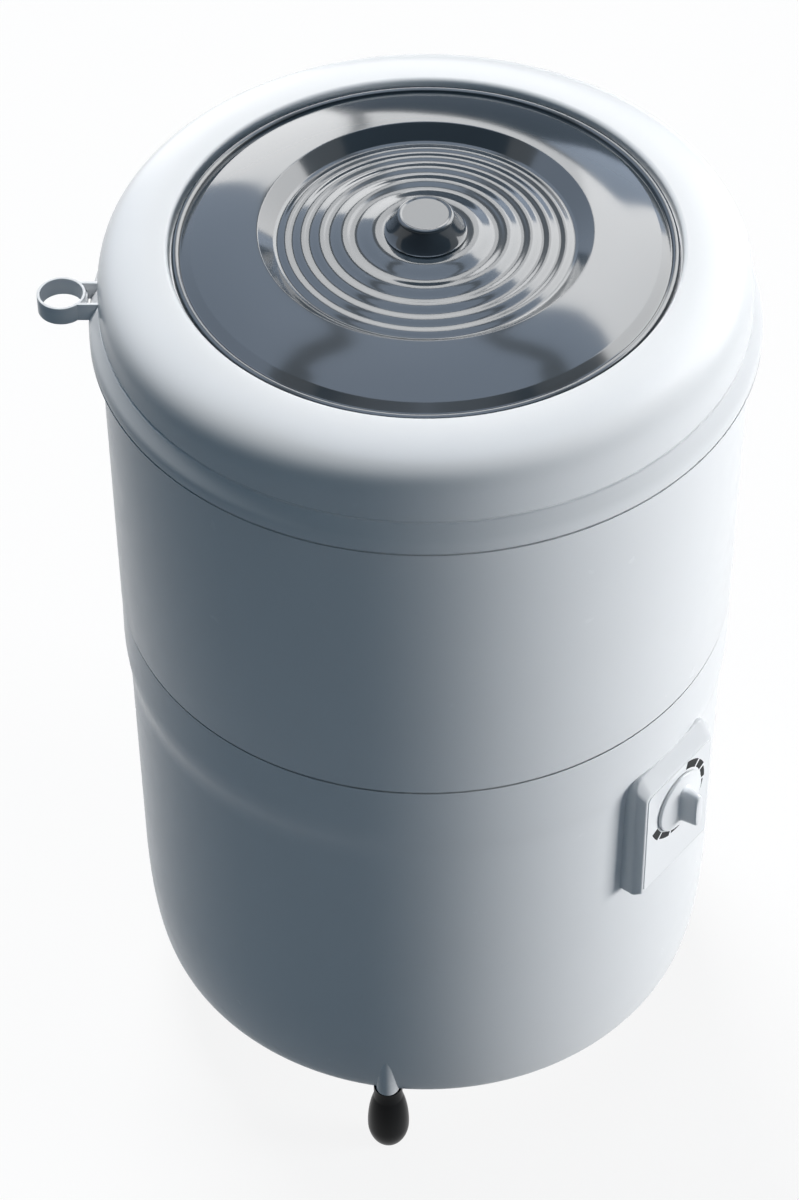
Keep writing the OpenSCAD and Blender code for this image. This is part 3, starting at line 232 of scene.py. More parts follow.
class Shape:
    """Surfaces worked out as numpy grids, and the meshes made of them."""

    @staticmethod
    def arc(centre: tuple[float, float], radius: float, start: float, stop: float,
            steps: int) -> np.ndarray:
        """Points on a circle: centre + radius * (cos t, sin t), for t from start to stop degrees.

        Args:
            centre: Centre of the arc.
            radius: Its radius.
            start: First angle in degrees.
            stop: Last angle in degrees.
            steps: Number of steps between the two.

        Returns:
            An array of steps + 1 points.
        """
        t = np.radians(np.linspace(start, stop, steps + 1))
        return np.stack([centre[0] + radius * np.cos(t), centre[1] + radius * np.sin(t)], axis=1)

    @staticmethod
    def superarc(centre: tuple[float, float], a: float, b: float, power: float, steps: int) -> np.ndarray:
        """A quarter of a superellipse: centre + (a cos(t)^(2/p), b sin(t)^(2/p)), t from 0 to 90 degrees.

        Args:
            centre: Centre of the superellipse.
            a: Reach along the first axis.
            b: Reach along the second axis.
            power: The p of the formula, where 2 is an ellipse.
            steps: Number of steps.

        Returns:
            An array of steps + 1 points, from the outer end to the top.
        """
        t = np.linspace(0.0, math.pi / 2.0, steps + 1)
        e = 2.0 / power
        across, up = a * np.cos(t).clip(0.0) ** e, b * np.sin(t) ** e
        return np.stack([centre[0] + across, centre[1] + up], axis=1)

    @staticmethod
    def rounded(*points: Triple, steps: int = 4) -> np.ndarray:
        """Rounds the corners of a closed outline.

        Each corner is replaced by a quadratic curve between two points set back along its edges by the
        corner's own set-back, or by 45% of the shorter edge where that is less.

        Args:
            points: The two coordinates of each corner and its set-back, where 0 keeps it sharp.
            steps: Steps along each rounded corner.

        Returns:
            The rounded outline.
        """
        table = np.array(points, float)
        corners, back = table[:, :2], table[:, 2]
        before = np.roll(corners, 1, axis=0) - corners
        after = np.roll(corners, -1, axis=0) - corners
        long_before = np.linalg.norm(before, axis=1)
        long_after = np.linalg.norm(after, axis=1)
        back = np.minimum(back, 0.45 * np.minimum(long_before, long_after))
        first = corners + before * (back / long_before)[:, None]
        last = corners + after * (back / long_after)[:, None]
        t = np.linspace(0.0, 1.0, steps + 1)[None, :, None]
        curve = (1 - t) ** 2 * first[:, None] + 2 * t * (1 - t) * corners[:, None] + t ** 2 * last[:, None]
        line = curve.reshape(-1, 2)
        step = np.linalg.norm(line - np.roll(line, 1, axis=0), axis=1)
        return line[step > 1e-7]

    @staticmethod
    def quads(rows: int, columns: int, wrap_rows: bool, wrap_columns: bool) -> np.ndarray:
        """Corner numbers of the quads of a grid of points.

        Args:
            rows: Points along the first parameter.
            columns: Points along the second parameter.
            wrap_rows: Whether the last row joins the first.
            wrap_columns: Whether the last column joins the first.

        Returns:
            An array of four vertex numbers to a quad.
        """
        i = np.arange(rows if wrap_rows else rows - 1)
        j = np.arange(columns if wrap_columns else columns - 1)
        i0, j0 = np.meshgrid(i, j, indexing="ij")
        i1, j1 = (i0 + 1) % rows, (j0 + 1) % columns
        corners = [i0 * columns + j0, i0 * columns + j1, i1 * columns + j1, i1 * columns + j0]
        return np.stack(corners, axis=-1).reshape(-1, 4)

    @classmethod
    def lathe(cls, outline: np.ndarray, steps: int = LATHE_STEPS) -> Surface:
        """Turns a closed outline of (radius, height) in millimetres round the Z axis.

        A point is (r cos a, r sin a, z) for a from 0 to a full turn.

        Args:
            outline: The closed outline.
            steps: Steps round the axis.

        Returns:
            The points in metres and the quads.
        """
        a = np.linspace(0.0, FULL_TURN, steps, endpoint=False)[:, None]
        r, z = outline[None, :, 0] * MM, outline[None, :, 1] * MM
        points = np.stack([r * np.cos(a), r * np.sin(a), z + np.zeros_like(a)], axis=-1)
        return points.reshape(-1, 3), cls.quads(steps, len(outline), True, True)

    @classmethod
    def loft(cls, rings: np.ndarray) -> Surface:
        """Skins a stack of closed rings of equal counts and closes both ends with one flat face.

        Args:
            rings: Points in millimetres as (rings, points round, 3).

        Returns:
            The points in metres and the faces.
        """
        count, around = rings.shape[:2]
        faces = cls.quads(count, around, False, True).tolist()
        faces.append(list(range(around)))
        faces.append([(count - 1) * around + k for k in reversed(range(around))])
        return rings.reshape(-1, 3) * MM, faces

    @staticmethod
    def moved_out(surface: Surface, angle: float, reach: float) -> Surface:
        """Moves a surface away from the axis, at degrees from +X and by a reach in millimetres."""
        points, faces = surface
        a = math.radians(angle)
        return points + np.array([math.cos(a), math.sin(a), 0.0]) * reach * MM, faces

    @staticmethod
    def front_rings(*levels: tuple[np.ndarray, np.ndarray | float]) -> np.ndarray:
        """Rings of points from outlines drawn as seen from the front.

        Args:
            levels: Each ring's outline as rows of (x, z), and its y, one for all or one for each row.

        Returns:
            The rings as (rings, points round, 3).
        """
        return np.stack([np.column_stack([line[:, 0], np.broadcast_to(y, len(line)), line[:, 1]])
                         for line, y in levels])

    @staticmethod
    def piece(name: str, parts: list[Surface], sharp: float = 34.0) -> bpy.types.Object:
        """Makes one object of closed surfaces, with its poles merged and its faces outwards.

        Args:
            name: The object's name.
            parts: The closed surfaces.
            sharp: Edges bent by more degrees than this stay sharp.

        Returns:
            The new object, at the origin.
        """
        whole = bmesh.new()
        for points, faces in parts:
            part = bpy.data.meshes.new(name + "_part")
            part.from_pydata(np.asarray(points).tolist(), [], [list(f) for f in faces])
            shape = bmesh.new()
            shape.from_mesh(part)
            bmesh.ops.remove_doubles(shape, verts=shape.verts, dist=1e-6)
            bmesh.ops.dissolve_degenerate(shape, edges=shape.edges, dist=1e-7)
            bmesh.ops.recalc_face_normals(shape, faces=shape.faces)
            shape.to_mesh(part)
            shape.free()
            whole.from_mesh(part)
            bpy.data.meshes.remove(part)
        mesh = bpy.data.meshes.new(name)
        whole.to_mesh(mesh)
        whole.free()
        mesh.shade_smooth()
        mesh.set_sharp_from_angle(angle=math.radians(sharp))
        made = bpy.data.objects.new(name, mesh)
        bpy.context.scene.collection.objects.link(made)
        return made

    @staticmethod
    def soften(made: bpy.types.Object, width: float, limit: float) -> None:
        """Rounds the edges that bend by more than a limit in degrees, by a width in millimetres."""
        bevel = made.modifiers.new("soft_edges", "BEVEL")
        bevel.width = width * MM
        bevel.segments = 3
        bevel.limit_method = "ANGLE"
        bevel.angle_limit = math.radians(limit)
        bevel.harden_normals = False


def add(made: bpy.types.Object, finishes: Finishes, slot: str, body: str, *nodes: str) -> None:
    """Dresses a piece, sets it on a body and lets it stand for CAD nodes.

    Args:
        made: The piece.
        finishes: The finishes.
        slot: The finish of the piece.
        body: The CAD body it rides on.
        nodes: The CAD nodes it stands for.
    """
    finishes.dress(made, slot)
    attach(made, body)
    if nodes:
        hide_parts(*nodes)
    LOG.info("%s rides on %s with %d faces", made.name, body, len(made.data.polygons))


@dataclass
class Casing:
    """The upper and lower casing: two thin shells with a groove where they meet. Sizes in millimetres.

    The tongue is the lower shell's top edge, as how far each corner lies inside and above the seam's outer
    edge: a lip, a pocket that the upper shell's foot stands in, and a tongue behind it.
    """

    z_case: float = 70.0
    z_corner: float = 171.0
    z_waist: float = 363.0
    z_band: float = 387.0
    z_seam: float = 437.0
    z_skirt: float = 687.0
    z_rim: float = 697.0
    base_r: float = 214.9
    corner_in: float = 11.3
    corner_h: float = 101.0
    corner_steps: int = 32
    waist_r: float = 227.8
    waist_blend: float = 11.0
    seam_r: float = 231.3
    top_r: float = 232.7
    rim_r: float = 214.0
    wall: float = 3.0
    service_r: float = 164.9
    groove_h: float = 2.0
    groove_d: float = 2.6
    pocket: float = 2.4
    play: float = 0.05
    tongue: tuple[tuple[float, float], ...] = (
        (0.4, 0.0), (0.8, -2.4), (3.1, -2.4), (3.2, 0.0), (3.4, 12.0), (5.6, 12.0), (5.7, -6.0),
        (3.0, -12.0))
    foot_angles: tuple[float, ...] = (-150.0, -30.0, 90.0)
    boss_at: float = 215.4
    boss_r: float = 9.2
    boss_taper: float = 0.8
    boss_h: float = 52.0

    def outline(self, inset: float) -> np.ndarray:
        """Outside of the lower casing, without the tongue.

        Args:
            inset: How far the outline is moved inwards, in millimetres.

        Returns:
            Its points as (radius, height), from the bottom corner up to the band.
        """
        t = np.linspace(math.pi / 2.0, 0.0, self.corner_steps + 1)
        corner = np.stack([
            self.base_r - inset + self.corner_in * np.cos(t),
            self.z_corner - (self.corner_h - inset) * np.sin(t)], axis=1)
        waist_r, band_r = self.waist_r - inset, self.seam_r - inset
        slope = Shape.rounded(
            (waist_r, self.z_corner + 20.0, 0.0), (waist_r, self.z_waist, self.waist_blend),
            (band_r, self.z_band, self.waist_blend), (band_r, self.z_seam - 1.0, 0.0), steps=12)
        return np.concatenate([corner, slope[1:-1]])

    def build(self, finishes: Finishes) -> None:
        """Builds both shells."""
        edge = [(self.seam_r - inset, self.z_seam + rise) for inset, rise in self.tongue]
        floor_edge = [(self.service_r, self.z_case + self.wall), (self.service_r, self.z_case)]
        lower = np.concatenate([self.outline(0.0), edge, self.outline(self.wall)[::-1], floor_edge])
        parts = [Shape.lathe(lower)]
        parts += [self.boss(a) for a in self.foot_angles]
        add(Shape.piece("casing_lower_shell", parts), finishes, "casing", "cabinet", "lower_casing")
        groove_r, inner_r = self.seam_r - self.groove_d, self.top_r - self.wall
        z_foot, z_groove = self.z_seam - self.pocket + self.play, self.z_seam + self.groove_h
        z_under = self.z_rim - self.wall
        upper = Shape.rounded(
            (groove_r, z_foot, 0.0), (groove_r, z_groove, 0.2), (self.seam_r, z_groove, 0.25),
            (self.top_r, self.z_skirt, 0.0), (self.top_r, self.z_rim, 1.2), (self.rim_r, self.z_rim, 0.3),
            (self.rim_r, z_under, 0.3), (inner_r, z_under, 1.0), (inner_r, self.z_skirt, 0.0),
            (self.seam_r - self.wall, z_foot, 0.2))
        made = Shape.piece("casing_upper_shell", [Shape.lathe(upper)])
        add(made, finishes, "casing", "cabinet", "upper_casing")

    def boss(self, angle: float) -> Surface:
        """The small tapered boss that a foot is screwed to, at one angle in degrees."""
        z_low, z_high = self.z_case + 0.02, self.z_case + self.boss_h
        line = Shape.rounded(
            (0.0, z_low, 0.0), (self.boss_r, z_low, 1.2), (self.boss_r - self.boss_taper, z_high, 1.0),
            (0.0, z_high, 0.0))
        return Shape.moved_out(Shape.lathe(line, steps=48), angle, self.boss_at)


@dataclass
class TopRing:
    """The domed ring round the lid, with its skirt, crest and well. Sizes in millimetres.

    A gap runs round the skirt just over its lower edge, and a notch where the ledge meets the dome.
    """

    z_skirt: float = 687.0
    skirt_r: float = 240.0
    skirt_h: float = 12.0
    ledge_r: float = 232.7
    ledge_h: float = 12.0
    gap_z: float = 1.4
    gap_h: float = 1.5
    gap_d: float = 2.4
    gap_drop: float = 1.0
    notch_h: float = 2.4
    notch_d: float = 1.8
    z_dome: float = 723.6
    dome_r: float = 232.1
    crest_r: float = 184.2
    z_crest: float = 761.5
    power: float = 2.8
    wall: float = 3.0
    lip: float = 3.4
    well_r: float = 180.8
    z_shelf: float = 753.1
    mouth_r: float = 171.0
    throat: float = 26.0

    def build(self, finishes: Finishes) -> None:
        """Builds the ring as one closed outline turned round the axis."""
        reach, rise = self.dome_r - self.crest_r, self.z_crest - self.z_dome
        middle = (self.crest_r, self.z_dome)
        dome = Shape.superarc(middle, reach, rise, self.power, 48)
        under = Shape.superarc(middle, reach - self.wall, rise - self.wall, self.power, 24)[::-1]
        lip = Shape.arc((self.crest_r, self.z_crest - self.lip), self.lip, 90.0, 180.0, 10)[1:]
        z_ledge = self.z_skirt + self.skirt_h + self.ledge_h
        inner_skirt = [
            (self.ledge_r - self.wall, z_ledge - 1.5),
            (self.skirt_r - self.wall, self.z_skirt + self.skirt_h - 1.5)]
        line = np.concatenate([self.skirt(z_ledge)[:-1], dome, lip, self.well(), under, inner_skirt])
        add(Shape.piece("top_ring_dome", [Shape.lathe(line)]), finishes, "casing", "cabinet", "top_ring")

    def skirt(self, z_ledge: float) -> np.ndarray:
        """Outside of the skirt and its ledge, from the skirt's lower inner corner to the dome's foot."""
        z_gap = self.z_skirt + self.gap_z
        gap_r = self.skirt_r - self.gap_d
        return Shape.rounded(
            (self.skirt_r - self.wall, self.z_skirt, 0.2), (self.skirt_r, self.z_skirt, 0.4),
            (self.skirt_r, z_gap, 0.2), (self.skirt_r - 0.4, z_gap - self.gap_drop, 0.1),
            (gap_r, z_gap - self.gap_drop, 0.1), (gap_r, z_gap + self.gap_h, 0.2),
            (self.skirt_r, z_gap + self.gap_h, 0.3), (self.skirt_r, self.z_skirt + self.skirt_h, 4.0),
            (self.ledge_r, z_ledge, 0.7), (self.ledge_r - self.notch_d, z_ledge + 0.4, 0.3),
            (self.ledge_r - 0.2, z_ledge + self.notch_h, 0.9), (self.ledge_r - 0.3, self.z_dome, 0.0),
            steps=5)

    def well(self) -> np.ndarray:
        """The well that the lid sits in, from the crest's lip round its shelf and throat and back up."""
        z_throat, z_lip = self.z_shelf - self.throat, self.z_crest - self.lip
        z_under = self.z_shelf - self.wall
        outer_mouth, outer_well = self.mouth_r + self.wall, self.well_r + self.wall
        return Shape.rounded(
            (self.well_r, z_lip - 1.0, 0.0), (self.well_r - 0.6, self.z_shelf, 1.0),
            (self.mouth_r, self.z_shelf, 1.2), (self.mouth_r, z_throat, 1.2), (outer_mouth, z_throat, 1.2),
            (outer_mouth, z_under, 0.8), (outer_well, z_under, 0.8), (outer_well, z_lip, 0.0),
            (self.crest_r, self.z_crest - self.wall, 0.0))


@dataclass
class Lid:
    """The lid with its bead, shoulder, dome, recess and ripples, and its knob. Sizes in millimetres."""

    z_lid: float = 753.4
    thick: float = 2.6
    lid_r: float = 178.8
    bead_w: float = 6.0
    bead_h: float = 1.8
    shoulder_r: float = 165.5
    shoulder_foot_r: float = 172.2
    recess_r: float = 117.7
    lip_r: float = 169.5
    lip_w: float = 2.0
    lip_h: float = 7.0
    dome_h: float = 12.3
    shoulder_h: float = 4.6
    ripple_r: float = 105.0
    recess_depth: float = 9.6
    floor_rise: float = 6.6
    under_rise: float = 3.0
    ripple_h: float = 2.4
    first_r: float = 37.0
    second_r: float = 59.0
    rim_in: float = 1.2
    knob_r: float = 18.0
    foot_r: float = 29.0
    seat_play: float = 0.6
    knob_h: float = 16.6
    knob_edge: float = 2.4
    knob_curve: float = 1.4
    ripple_steps: int = 260

    @property
    def z_edge(self) -> float:
        """Height of the lid's flat edge."""
        return self.z_lid + self.thick

    @property
    def z_recess(self) -> float:
        """Height of the recess's rim."""
        return self.z_edge + self.shoulder_h + self.dome_h

    def ripple(self, r: np.ndarray) -> np.ndarray:
        """Height of the recess's floor.

        The floor rises evenly towards the middle. The ripples on it are a cosine of r squared, so that
        they crowd outwards, and their height falls as 1 / r.

        Args:
            r: Distances from the axis.

        Returns:
            The heights.
        """
        turn = (r ** 2 - self.first_r ** 2) / (self.second_r ** 2 - self.first_r ** 2)
        wave = self.ripple_h / 2.0 * self.first_r / r * np.cos(FULL_TURN * turn)
        rise = self.floor_rise * (self.ripple_r - r) / (self.ripple_r - self.foot_r)
        return self.z_recess - self.recess_depth + rise + wave

    def dome(self, r: np.ndarray) -> np.ndarray:
        """Height between the recess and the shoulder: it falls as (x + x^2) / 2, for x from 0 to 1."""
        x = (r - self.recess_r) / (self.shoulder_r - self.recess_r)
        return self.z_recess - self.dome_h * (x + x ** 2) / 2.0

    def build(self, finishes: Finishes) -> None:
        """Builds the lid and its knob."""
        r = np.linspace(self.ripple_r, self.foot_r + self.seat_play, self.ripple_steps)
        floor = np.stack([r, self.ripple(r)], axis=1)
        z_seat = float(floor[-1, 1])
        line = np.concatenate([self.crown(), floor, [(0.0, z_seat)], self.underside()])
        add(Shape.piece("lid_disc", [Shape.lathe(line)], sharp=40.0), finishes, "lid", "lid", "lid")
        self.build_knob(finishes, z_seat)

    def crown(self) -> np.ndarray:
        """The lid's top from its outer edge over the bead, the shoulder and the dome to the ripples."""
        middle = self.lid_r - self.bead_w / 2.0
        t = np.linspace(0.0, math.pi, 17)
        bead = np.stack([middle + (self.bead_w / 2.0 - 0.3) * np.cos(t),
                         self.z_edge + self.bead_h * np.sin(t)], axis=1)
        r = np.linspace(self.shoulder_r - 1.0, self.recess_r + self.rim_in, 40)
        dome = np.stack([r, self.dome(r)], axis=1)
        z_wall = float(self.ripple(np.array(self.ripple_r))) + 0.4
        rim = Shape.rounded(
            (*dome[-1], 0.0), (self.recess_r, self.z_recess, 1.6), (self.ripple_r + 1.8, z_wall + 0.2, 1.2),
            (self.ripple_r + 0.4, z_wall, 0.0), steps=6)
        shoulder = Shape.rounded(
            (self.shoulder_foot_r + 0.6, self.z_edge + 0.1, 0.0),
            (self.shoulder_foot_r, self.z_edge + 0.3, 0.6),
            (self.shoulder_r, self.z_recess - self.dome_h, 2.0), (*dome[0], 0.0), steps=6)
        edge = [(self.lid_r, self.z_lid + 0.05), (self.lid_r, self.z_edge - 0.5)]
        return np.concatenate([edge, bead, shoulder[:-1], dome, rim[1:-1]])

    def underside(self) -> np.ndarray:
        """The lid's underside from the axis out to the lip that centres it in the well."""
        z_under = self.z_recess - self.recess_depth - self.thick + 0.7
        z_skin = self.z_recess - self.thick
        lip_in, z_lip = self.lip_r - self.lip_w, self.z_lid - self.lip_h
        return np.array([
            (0.0, z_under + self.under_rise), (self.foot_r, z_under + self.under_rise),
            (self.ripple_r, z_under - 1.1), (self.recess_r - 1.0, z_skin - 2.0),
            (self.recess_r + 2.0, z_skin - 1.0),
            (self.shoulder_r - 1.0, self.z_edge + self.shoulder_h - self.thick - 0.6),
            (lip_in, self.z_lid + 1.0), (lip_in, z_lip), (self.lip_r, z_lip),
            (self.lip_r, self.z_lid + 0.05)])

    def build_knob(self, finishes: Finishes, z_seat: float) -> None:
        """Builds the turned knob on its seat: a flared foot, a rounded crown and a dished top."""
        z0, z1 = z_seat + 0.02, z_seat + self.knob_h
        z_crown, z_dish = z1 - self.knob_edge - 0.2, z1 - 0.6
        t = np.linspace(0.0, 1.0, 20)
        flare = np.stack([
            self.foot_r + (self.knob_r + self.knob_edge - self.foot_r) * t,
            z0 + 1.0 + (self.knob_h - 3.6) * t ** self.knob_curve], axis=1)
        crown = Shape.arc((self.knob_r, z_crown), self.knob_edge, 0.0, 90.0, 8)
        dish = [(self.knob_r - 0.8, z1 - 0.4), (self.knob_r - 1.4, z_dish), (self.knob_r - 2.0, z_dish),
                (self.knob_r / 2.0, z_dish), (0.0, z_dish)]
        knob = np.concatenate([[(0.0, z0), (self.foot_r, z0)], flare, crown, dish])
        made = Shape.piece("lid_knob_turned", [Shape.lathe(knob, steps=96)], sharp=50.0)
        add(made, finishes, "lid", "lid", "lid_knob")


@dataclass
class HoseCradle:
    """The ring on two straps that holds the drain hose up. Sizes in millimetres."""

    angle: float = 128.0
    offset: float = 259.0
    bore: float = 15.3
    wall: float = 2.2
    height: float = 14.6
    z0: float = 698.1
    edge: float = 0.7
    strap_gap: float = 23.0
    strap_t: float = 2.6
    strap_edge: float = 0.5
    root: float = 225.4
    bite: float = 0.6
    bar_at: float = 242.3
    bar_w: float = 2.6
    bar_share: float = 0.55

    def build(self, finishes: Finishes) -> None:
        """Builds the ring, the two straps and the bar between them as one piece."""
        z1 = self.z0 + self.height
        out = self.bore + self.wall
        ring = Shape.rounded(*((r, z, self.edge) for r, z in (
            (self.bore, self.z0), (out, self.z0), (out, z1), (self.bore, z1))))
        parts = [Shape.moved_out(Shape.lathe(ring, steps=96), 0.0, self.offset)]
        half, apart = self.strap_t / 2.0, self.strap_gap / 2.0
        reach = self.offset - math.sqrt((self.bore + self.bite) ** 2 - apart ** 2)
        for y in (-apart, apart):
            parts.append(self.bar((self.root, y - half, self.z0 + 0.02), (reach, y + half, z1 - 0.02)))
        parts.append(self.bar(
            (self.bar_at - self.bar_w / 2.0, -apart, self.z0 + 0.04),
            (self.bar_at + self.bar_w / 2.0, apart, self.z0 + self.bar_share * self.height)))
        a = math.radians(self.angle)
        turn = np.array([[math.cos(a), math.sin(a), 0.0], [-math.sin(a), math.cos(a), 0.0], [0.0, 0.0, 1.0]])
        turned = [(points @ turn, faces) for points, faces in parts]
        add(Shape.piece("hose_cradle", turned), finishes, "casing", "cabinet", "hose_holder")

    def bar(self, low: Triple, high: Triple) -> Surface:
        """A straight bar along X whose section is a rectangle with rounded corners.

        Args:
            low: Lowest corner in millimetres.
            high: Highest corner in millimetres.

        Returns:
            The points and faces.
        """
        section = Shape.rounded(*((y, z, self.strap_edge) for y, z in (
            (low[1], low[2]), (high[1], low[2]), (high[1], high[2]), (low[1], high[2]))), steps=3)
        rings = [np.column_stack([np.full(len(section), x), section]) for x in (low[0], high[0])]
        return Shape.loft(np.stack(rings))


@dataclass
class ControlBox:
    """The timer's box on the casing, with its plate, printed arcs and knob. Sizes in millimetres.

    The arcs are given as inner and outer radius, first and last angle in degrees round the timer's axis.
    The grip is given as height, half length and half width.
    """

    casing: Casing = field(default_factory=Casing)
    half: float = 45.5
    face_half: float = 41.5
    face_y: float = 240.1
    z_low: float = 263.8
    z_face: float = 375.2
    z_top: float = 387.0
    chamfer_d: float = 6.8
    round_r: float = 11.0
    foot_round: float = 2.0
    edge_w: float = 1.1
    wall_bite: float = 1.6
    z_dial: float = 337.9
    plate_half: float = 39.6
    plate_t: float = 0.6
    plate_edge: float = 0.3
    ink_over: float = 0.05
    ink_under: float = 0.03
    arcs: tuple[tuple[float, float, float, float], ...] = (
        (27.6, 35.0, 46.0, 74.0), (28.0, 34.6, 24.0, 42.0), (28.6, 33.2, -2.0, 20.0),
        (29.4, 32.0, -34.0, -6.0), (27.6, 34.6, 200.0, 222.0), (27.6, 33.4, 226.0, 252.0),
        (28.4, 32.4, 256.0, 276.0))
    skirt: tuple[Triple, ...] = (
        (0.0, 0.0, 0.0), (26.0, 0.0, 0.2), (26.0, 2.3, 1.0), (21.0, 3.4, 2.0), (14.0, 5.3, 2.5),
        (11.0, 6.0, 1.5), (0.0, 6.0, 0.0))
    grip: tuple[Triple, ...] = (
        (3.0, 17.6, 8.6), (5.0, 17.2, 7.8), (6.2, 16.6, 7.0), (8.0, 16.2, 6.3), (12.0, 16.0, 5.4),
        (16.0, 15.8, 4.6), (17.8, 15.4, 4.3), (18.6, 14.6, 3.7), (19.0, 13.2, 2.5), (19.0, 9.0, 0.6))
    grip_power: float = 3.2

    def build(self, finishes: Finishes) -> None:
        """Builds the box, the plate, the print and the knob."""
        self.build_body(finishes)
        self.build_plate(finishes)
        self.build_print(finishes)
        self.build_knob(finishes)

    def build_body(self, finishes: Finishes) -> None:
        """Builds the box as a loft from the flat face over its slopes to the casing's wall."""
        face = self.frame_line(self.face_half, self.z_low + 1.6, self.z_face, 7.0, 10)
        edge = self.frame_line(self.half, self.z_low, self.z_top, self.round_r, 10)
        top = np.clip((edge[:, 1] - (self.z_top - self.round_r)) / self.round_r, 0.0, 1.0)
        low = np.clip(1.0 - (edge[:, 1] - self.z_low) / self.foot_round, 0.0, 1.0)
        side_depth = self.face_y - self.chamfer_d
        top_depth = self.casing.seam_r - 0.4
        depth = side_depth + (top_depth - side_depth) * np.sin(top * math.pi / 2.0) ** 2 + low * 1.6
        line = self.casing.outline(0.0)
        wall = np.interp(edge[:, 1], line[:, 1], line[:, 0])
        back = np.minimum(np.sqrt(wall ** 2 - edge[:, 0] ** 2) - self.wall_bite, depth - 0.3)
        rings = Shape.front_rings((face, -self.face_y), (edge, -depth), (edge, -back))
        made = Shape.piece("timer_box_shell", [Shape.loft(rings)], sharp=60.0)
        Shape.soften(made, self.edge_w, limit=20.0)
        add(made, finishes, "casing", "cabinet", "control_box")

    def frame_line(self, half: float, z0: float, z1: float, round_r: float, steps: int) -> np.ndarray:
        """Front-view outline of the box: a rectangle with two well rounded upper corners.

        Args:
            half: Half its width.
            z0: Height of its foot.
            z1: Height of its top.
            round_r: Radius of the upper corners.
            steps: Steps along each corner.

        Returns:
            The closed outline as (x, z).
        """
        low, foot = self.foot_round, half - self.foot_round
        return np.concatenate([
            Shape.arc((-foot, z0 + low), low, 180.0, 270.0, steps),
            Shape.arc((foot, z0 + low), low, 270.0, 360.0, steps),
            Shape.arc((half - round_r, z1 - round_r), round_r, 0.0, 90.0, steps),
            Shape.arc((-half + round_r, z1 - round_r), round_r, 90.0, 180.0, steps)])

    def build_plate(self, finishes: Finishes) -> None:
        """Builds the thin plate on the box's face."""
        z0, z1, chamfer = self.z_low + 5.2, self.z_face - 3.0, self.plate_edge
        outline = self.frame_line(self.plate_half, z0, z1, 5.0, 8)
        inner = self.frame_line(self.plate_half - chamfer, z0 + chamfer, z1 - chamfer, 5.0 - chamfer, 8)
        front = -self.face_y - self.plate_t
        rings = Shape.front_rings((outline, -self.face_y - 0.02), (outline, front + 0.2), (inner, front))
        made = Shape.piece("dial_plate_face", [Shape.loft(rings)], sharp=20.0)
        add(made, finishes, "panel", "cabinet", "dial_plate")

    def build_print(self, finishes: Finishes) -> None:
        """Builds the printed arcs as thin sheets of ink laid on the plate."""
        add(Shape.piece("dial_print", [self.ink_arc(*arc) for arc in self.arcs]), finishes, INK, "cabinet")

    def ink_arc(self, r0: float, r1: float, a0: float, a1: float) -> Surface:
        """One printed arc between two radii and two angles round the timer's axis."""
        centre = (0.0, self.z_dial)
        line = np.concatenate([Shape.arc(centre, r1, a0, a1, 24), Shape.arc(centre, r0, a1, a0, 24)])
        y = -self.face_y - self.plate_t
        return Shape.loft(Shape.front_rings((line, y + self.ink_under), (line, y - self.ink_over)))

    def build_knob(self, finishes: Finishes) -> None:
        """Builds the timer's knob: a dished skirt and a rounded grip bar."""
        h, a, b = np.array(self.grip).T[:, :, None]
        t = np.linspace(0.0, FULL_TURN, 72, endpoint=False)
        c, s = np.cos(t), np.sin(t)
        e = 2.0 / self.grip_power
        x, y = b * np.sign(c) * np.abs(c) ** e, a * np.sign(s) * np.abs(s) ** e
        rings = np.stack([x, y, np.repeat(h, len(t), axis=1)], axis=-1)
        skirt = Shape.lathe(Shape.rounded(*self.skirt), steps=128)
        parts = [self.out_of_panel(surface) for surface in (skirt, Shape.loft(rings))]
        add(Shape.piece("timer_knob_moulded", parts), finishes, "panel", "timer", "timer_knob")

    def out_of_panel(self, surface: Surface) -> Surface:
        """Turns a surface drawn along +Z so that +Z is out of the panel at the timer's axis."""
        points, faces = surface
        foot = (self.face_y + self.plate_t + 0.5) * MM
        turned = np.column_stack([points[:, 0], -foot - points[:, 2], self.z_dial * MM + points[:, 1]])
        return turned, faces


@dataclass
class Feet:
    """The three egg-shaped feet. Sizes in millimetres."""

    widest: float = 16.45
    neck: float = 11.35
    z_widest: float = 23.7
    z_neck: float = 58.0
    height: float = 70.0
    play: float = 0.06
    pole: float = 70.0
    offset: float = 213.0
    places: tuple[tuple[str, float], ...] = (
        ("foot_left", -150.0), ("foot_right", -30.0), ("foot_rear", 90.0))

    def outline(self) -> np.ndarray:
        """Outline of a foot: an arc below the widest part and a quarter of an ellipse above it."""
        t = np.radians(np.linspace(-self.pole, 0.0, 24))
        drop = np.sin(t) / math.sin(math.radians(self.pole))
        belly = np.stack([self.widest * np.cos(t), self.z_widest * (1.0 + drop)], axis=1)
        reach = (self.z_neck - self.z_widest) / math.sqrt(1.0 - (self.neck / self.widest) ** 2)
        rise = np.linspace(0.0, self.z_neck - self.z_widest, 24)[1:]
        shoulder = np.stack([
            self.widest * np.sqrt(1.0 - (rise / reach) ** 2), self.z_widest + rise], axis=1)
        z_top = self.height - self.play
        return np.concatenate([[(0.0, 0.0)], belly, shoulder, [(self.neck, z_top), (0.0, z_top)]])

    def build(self, finishes: Finishes) -> None:
        """Builds each foot at its place."""
        for node, angle in self.places:
            foot = Shape.moved_out(Shape.lathe(self.outline(), steps=96), angle, self.offset)
            add(Shape.piece(node + "_egg", [foot]), finishes, "foot", "cabinet", node)


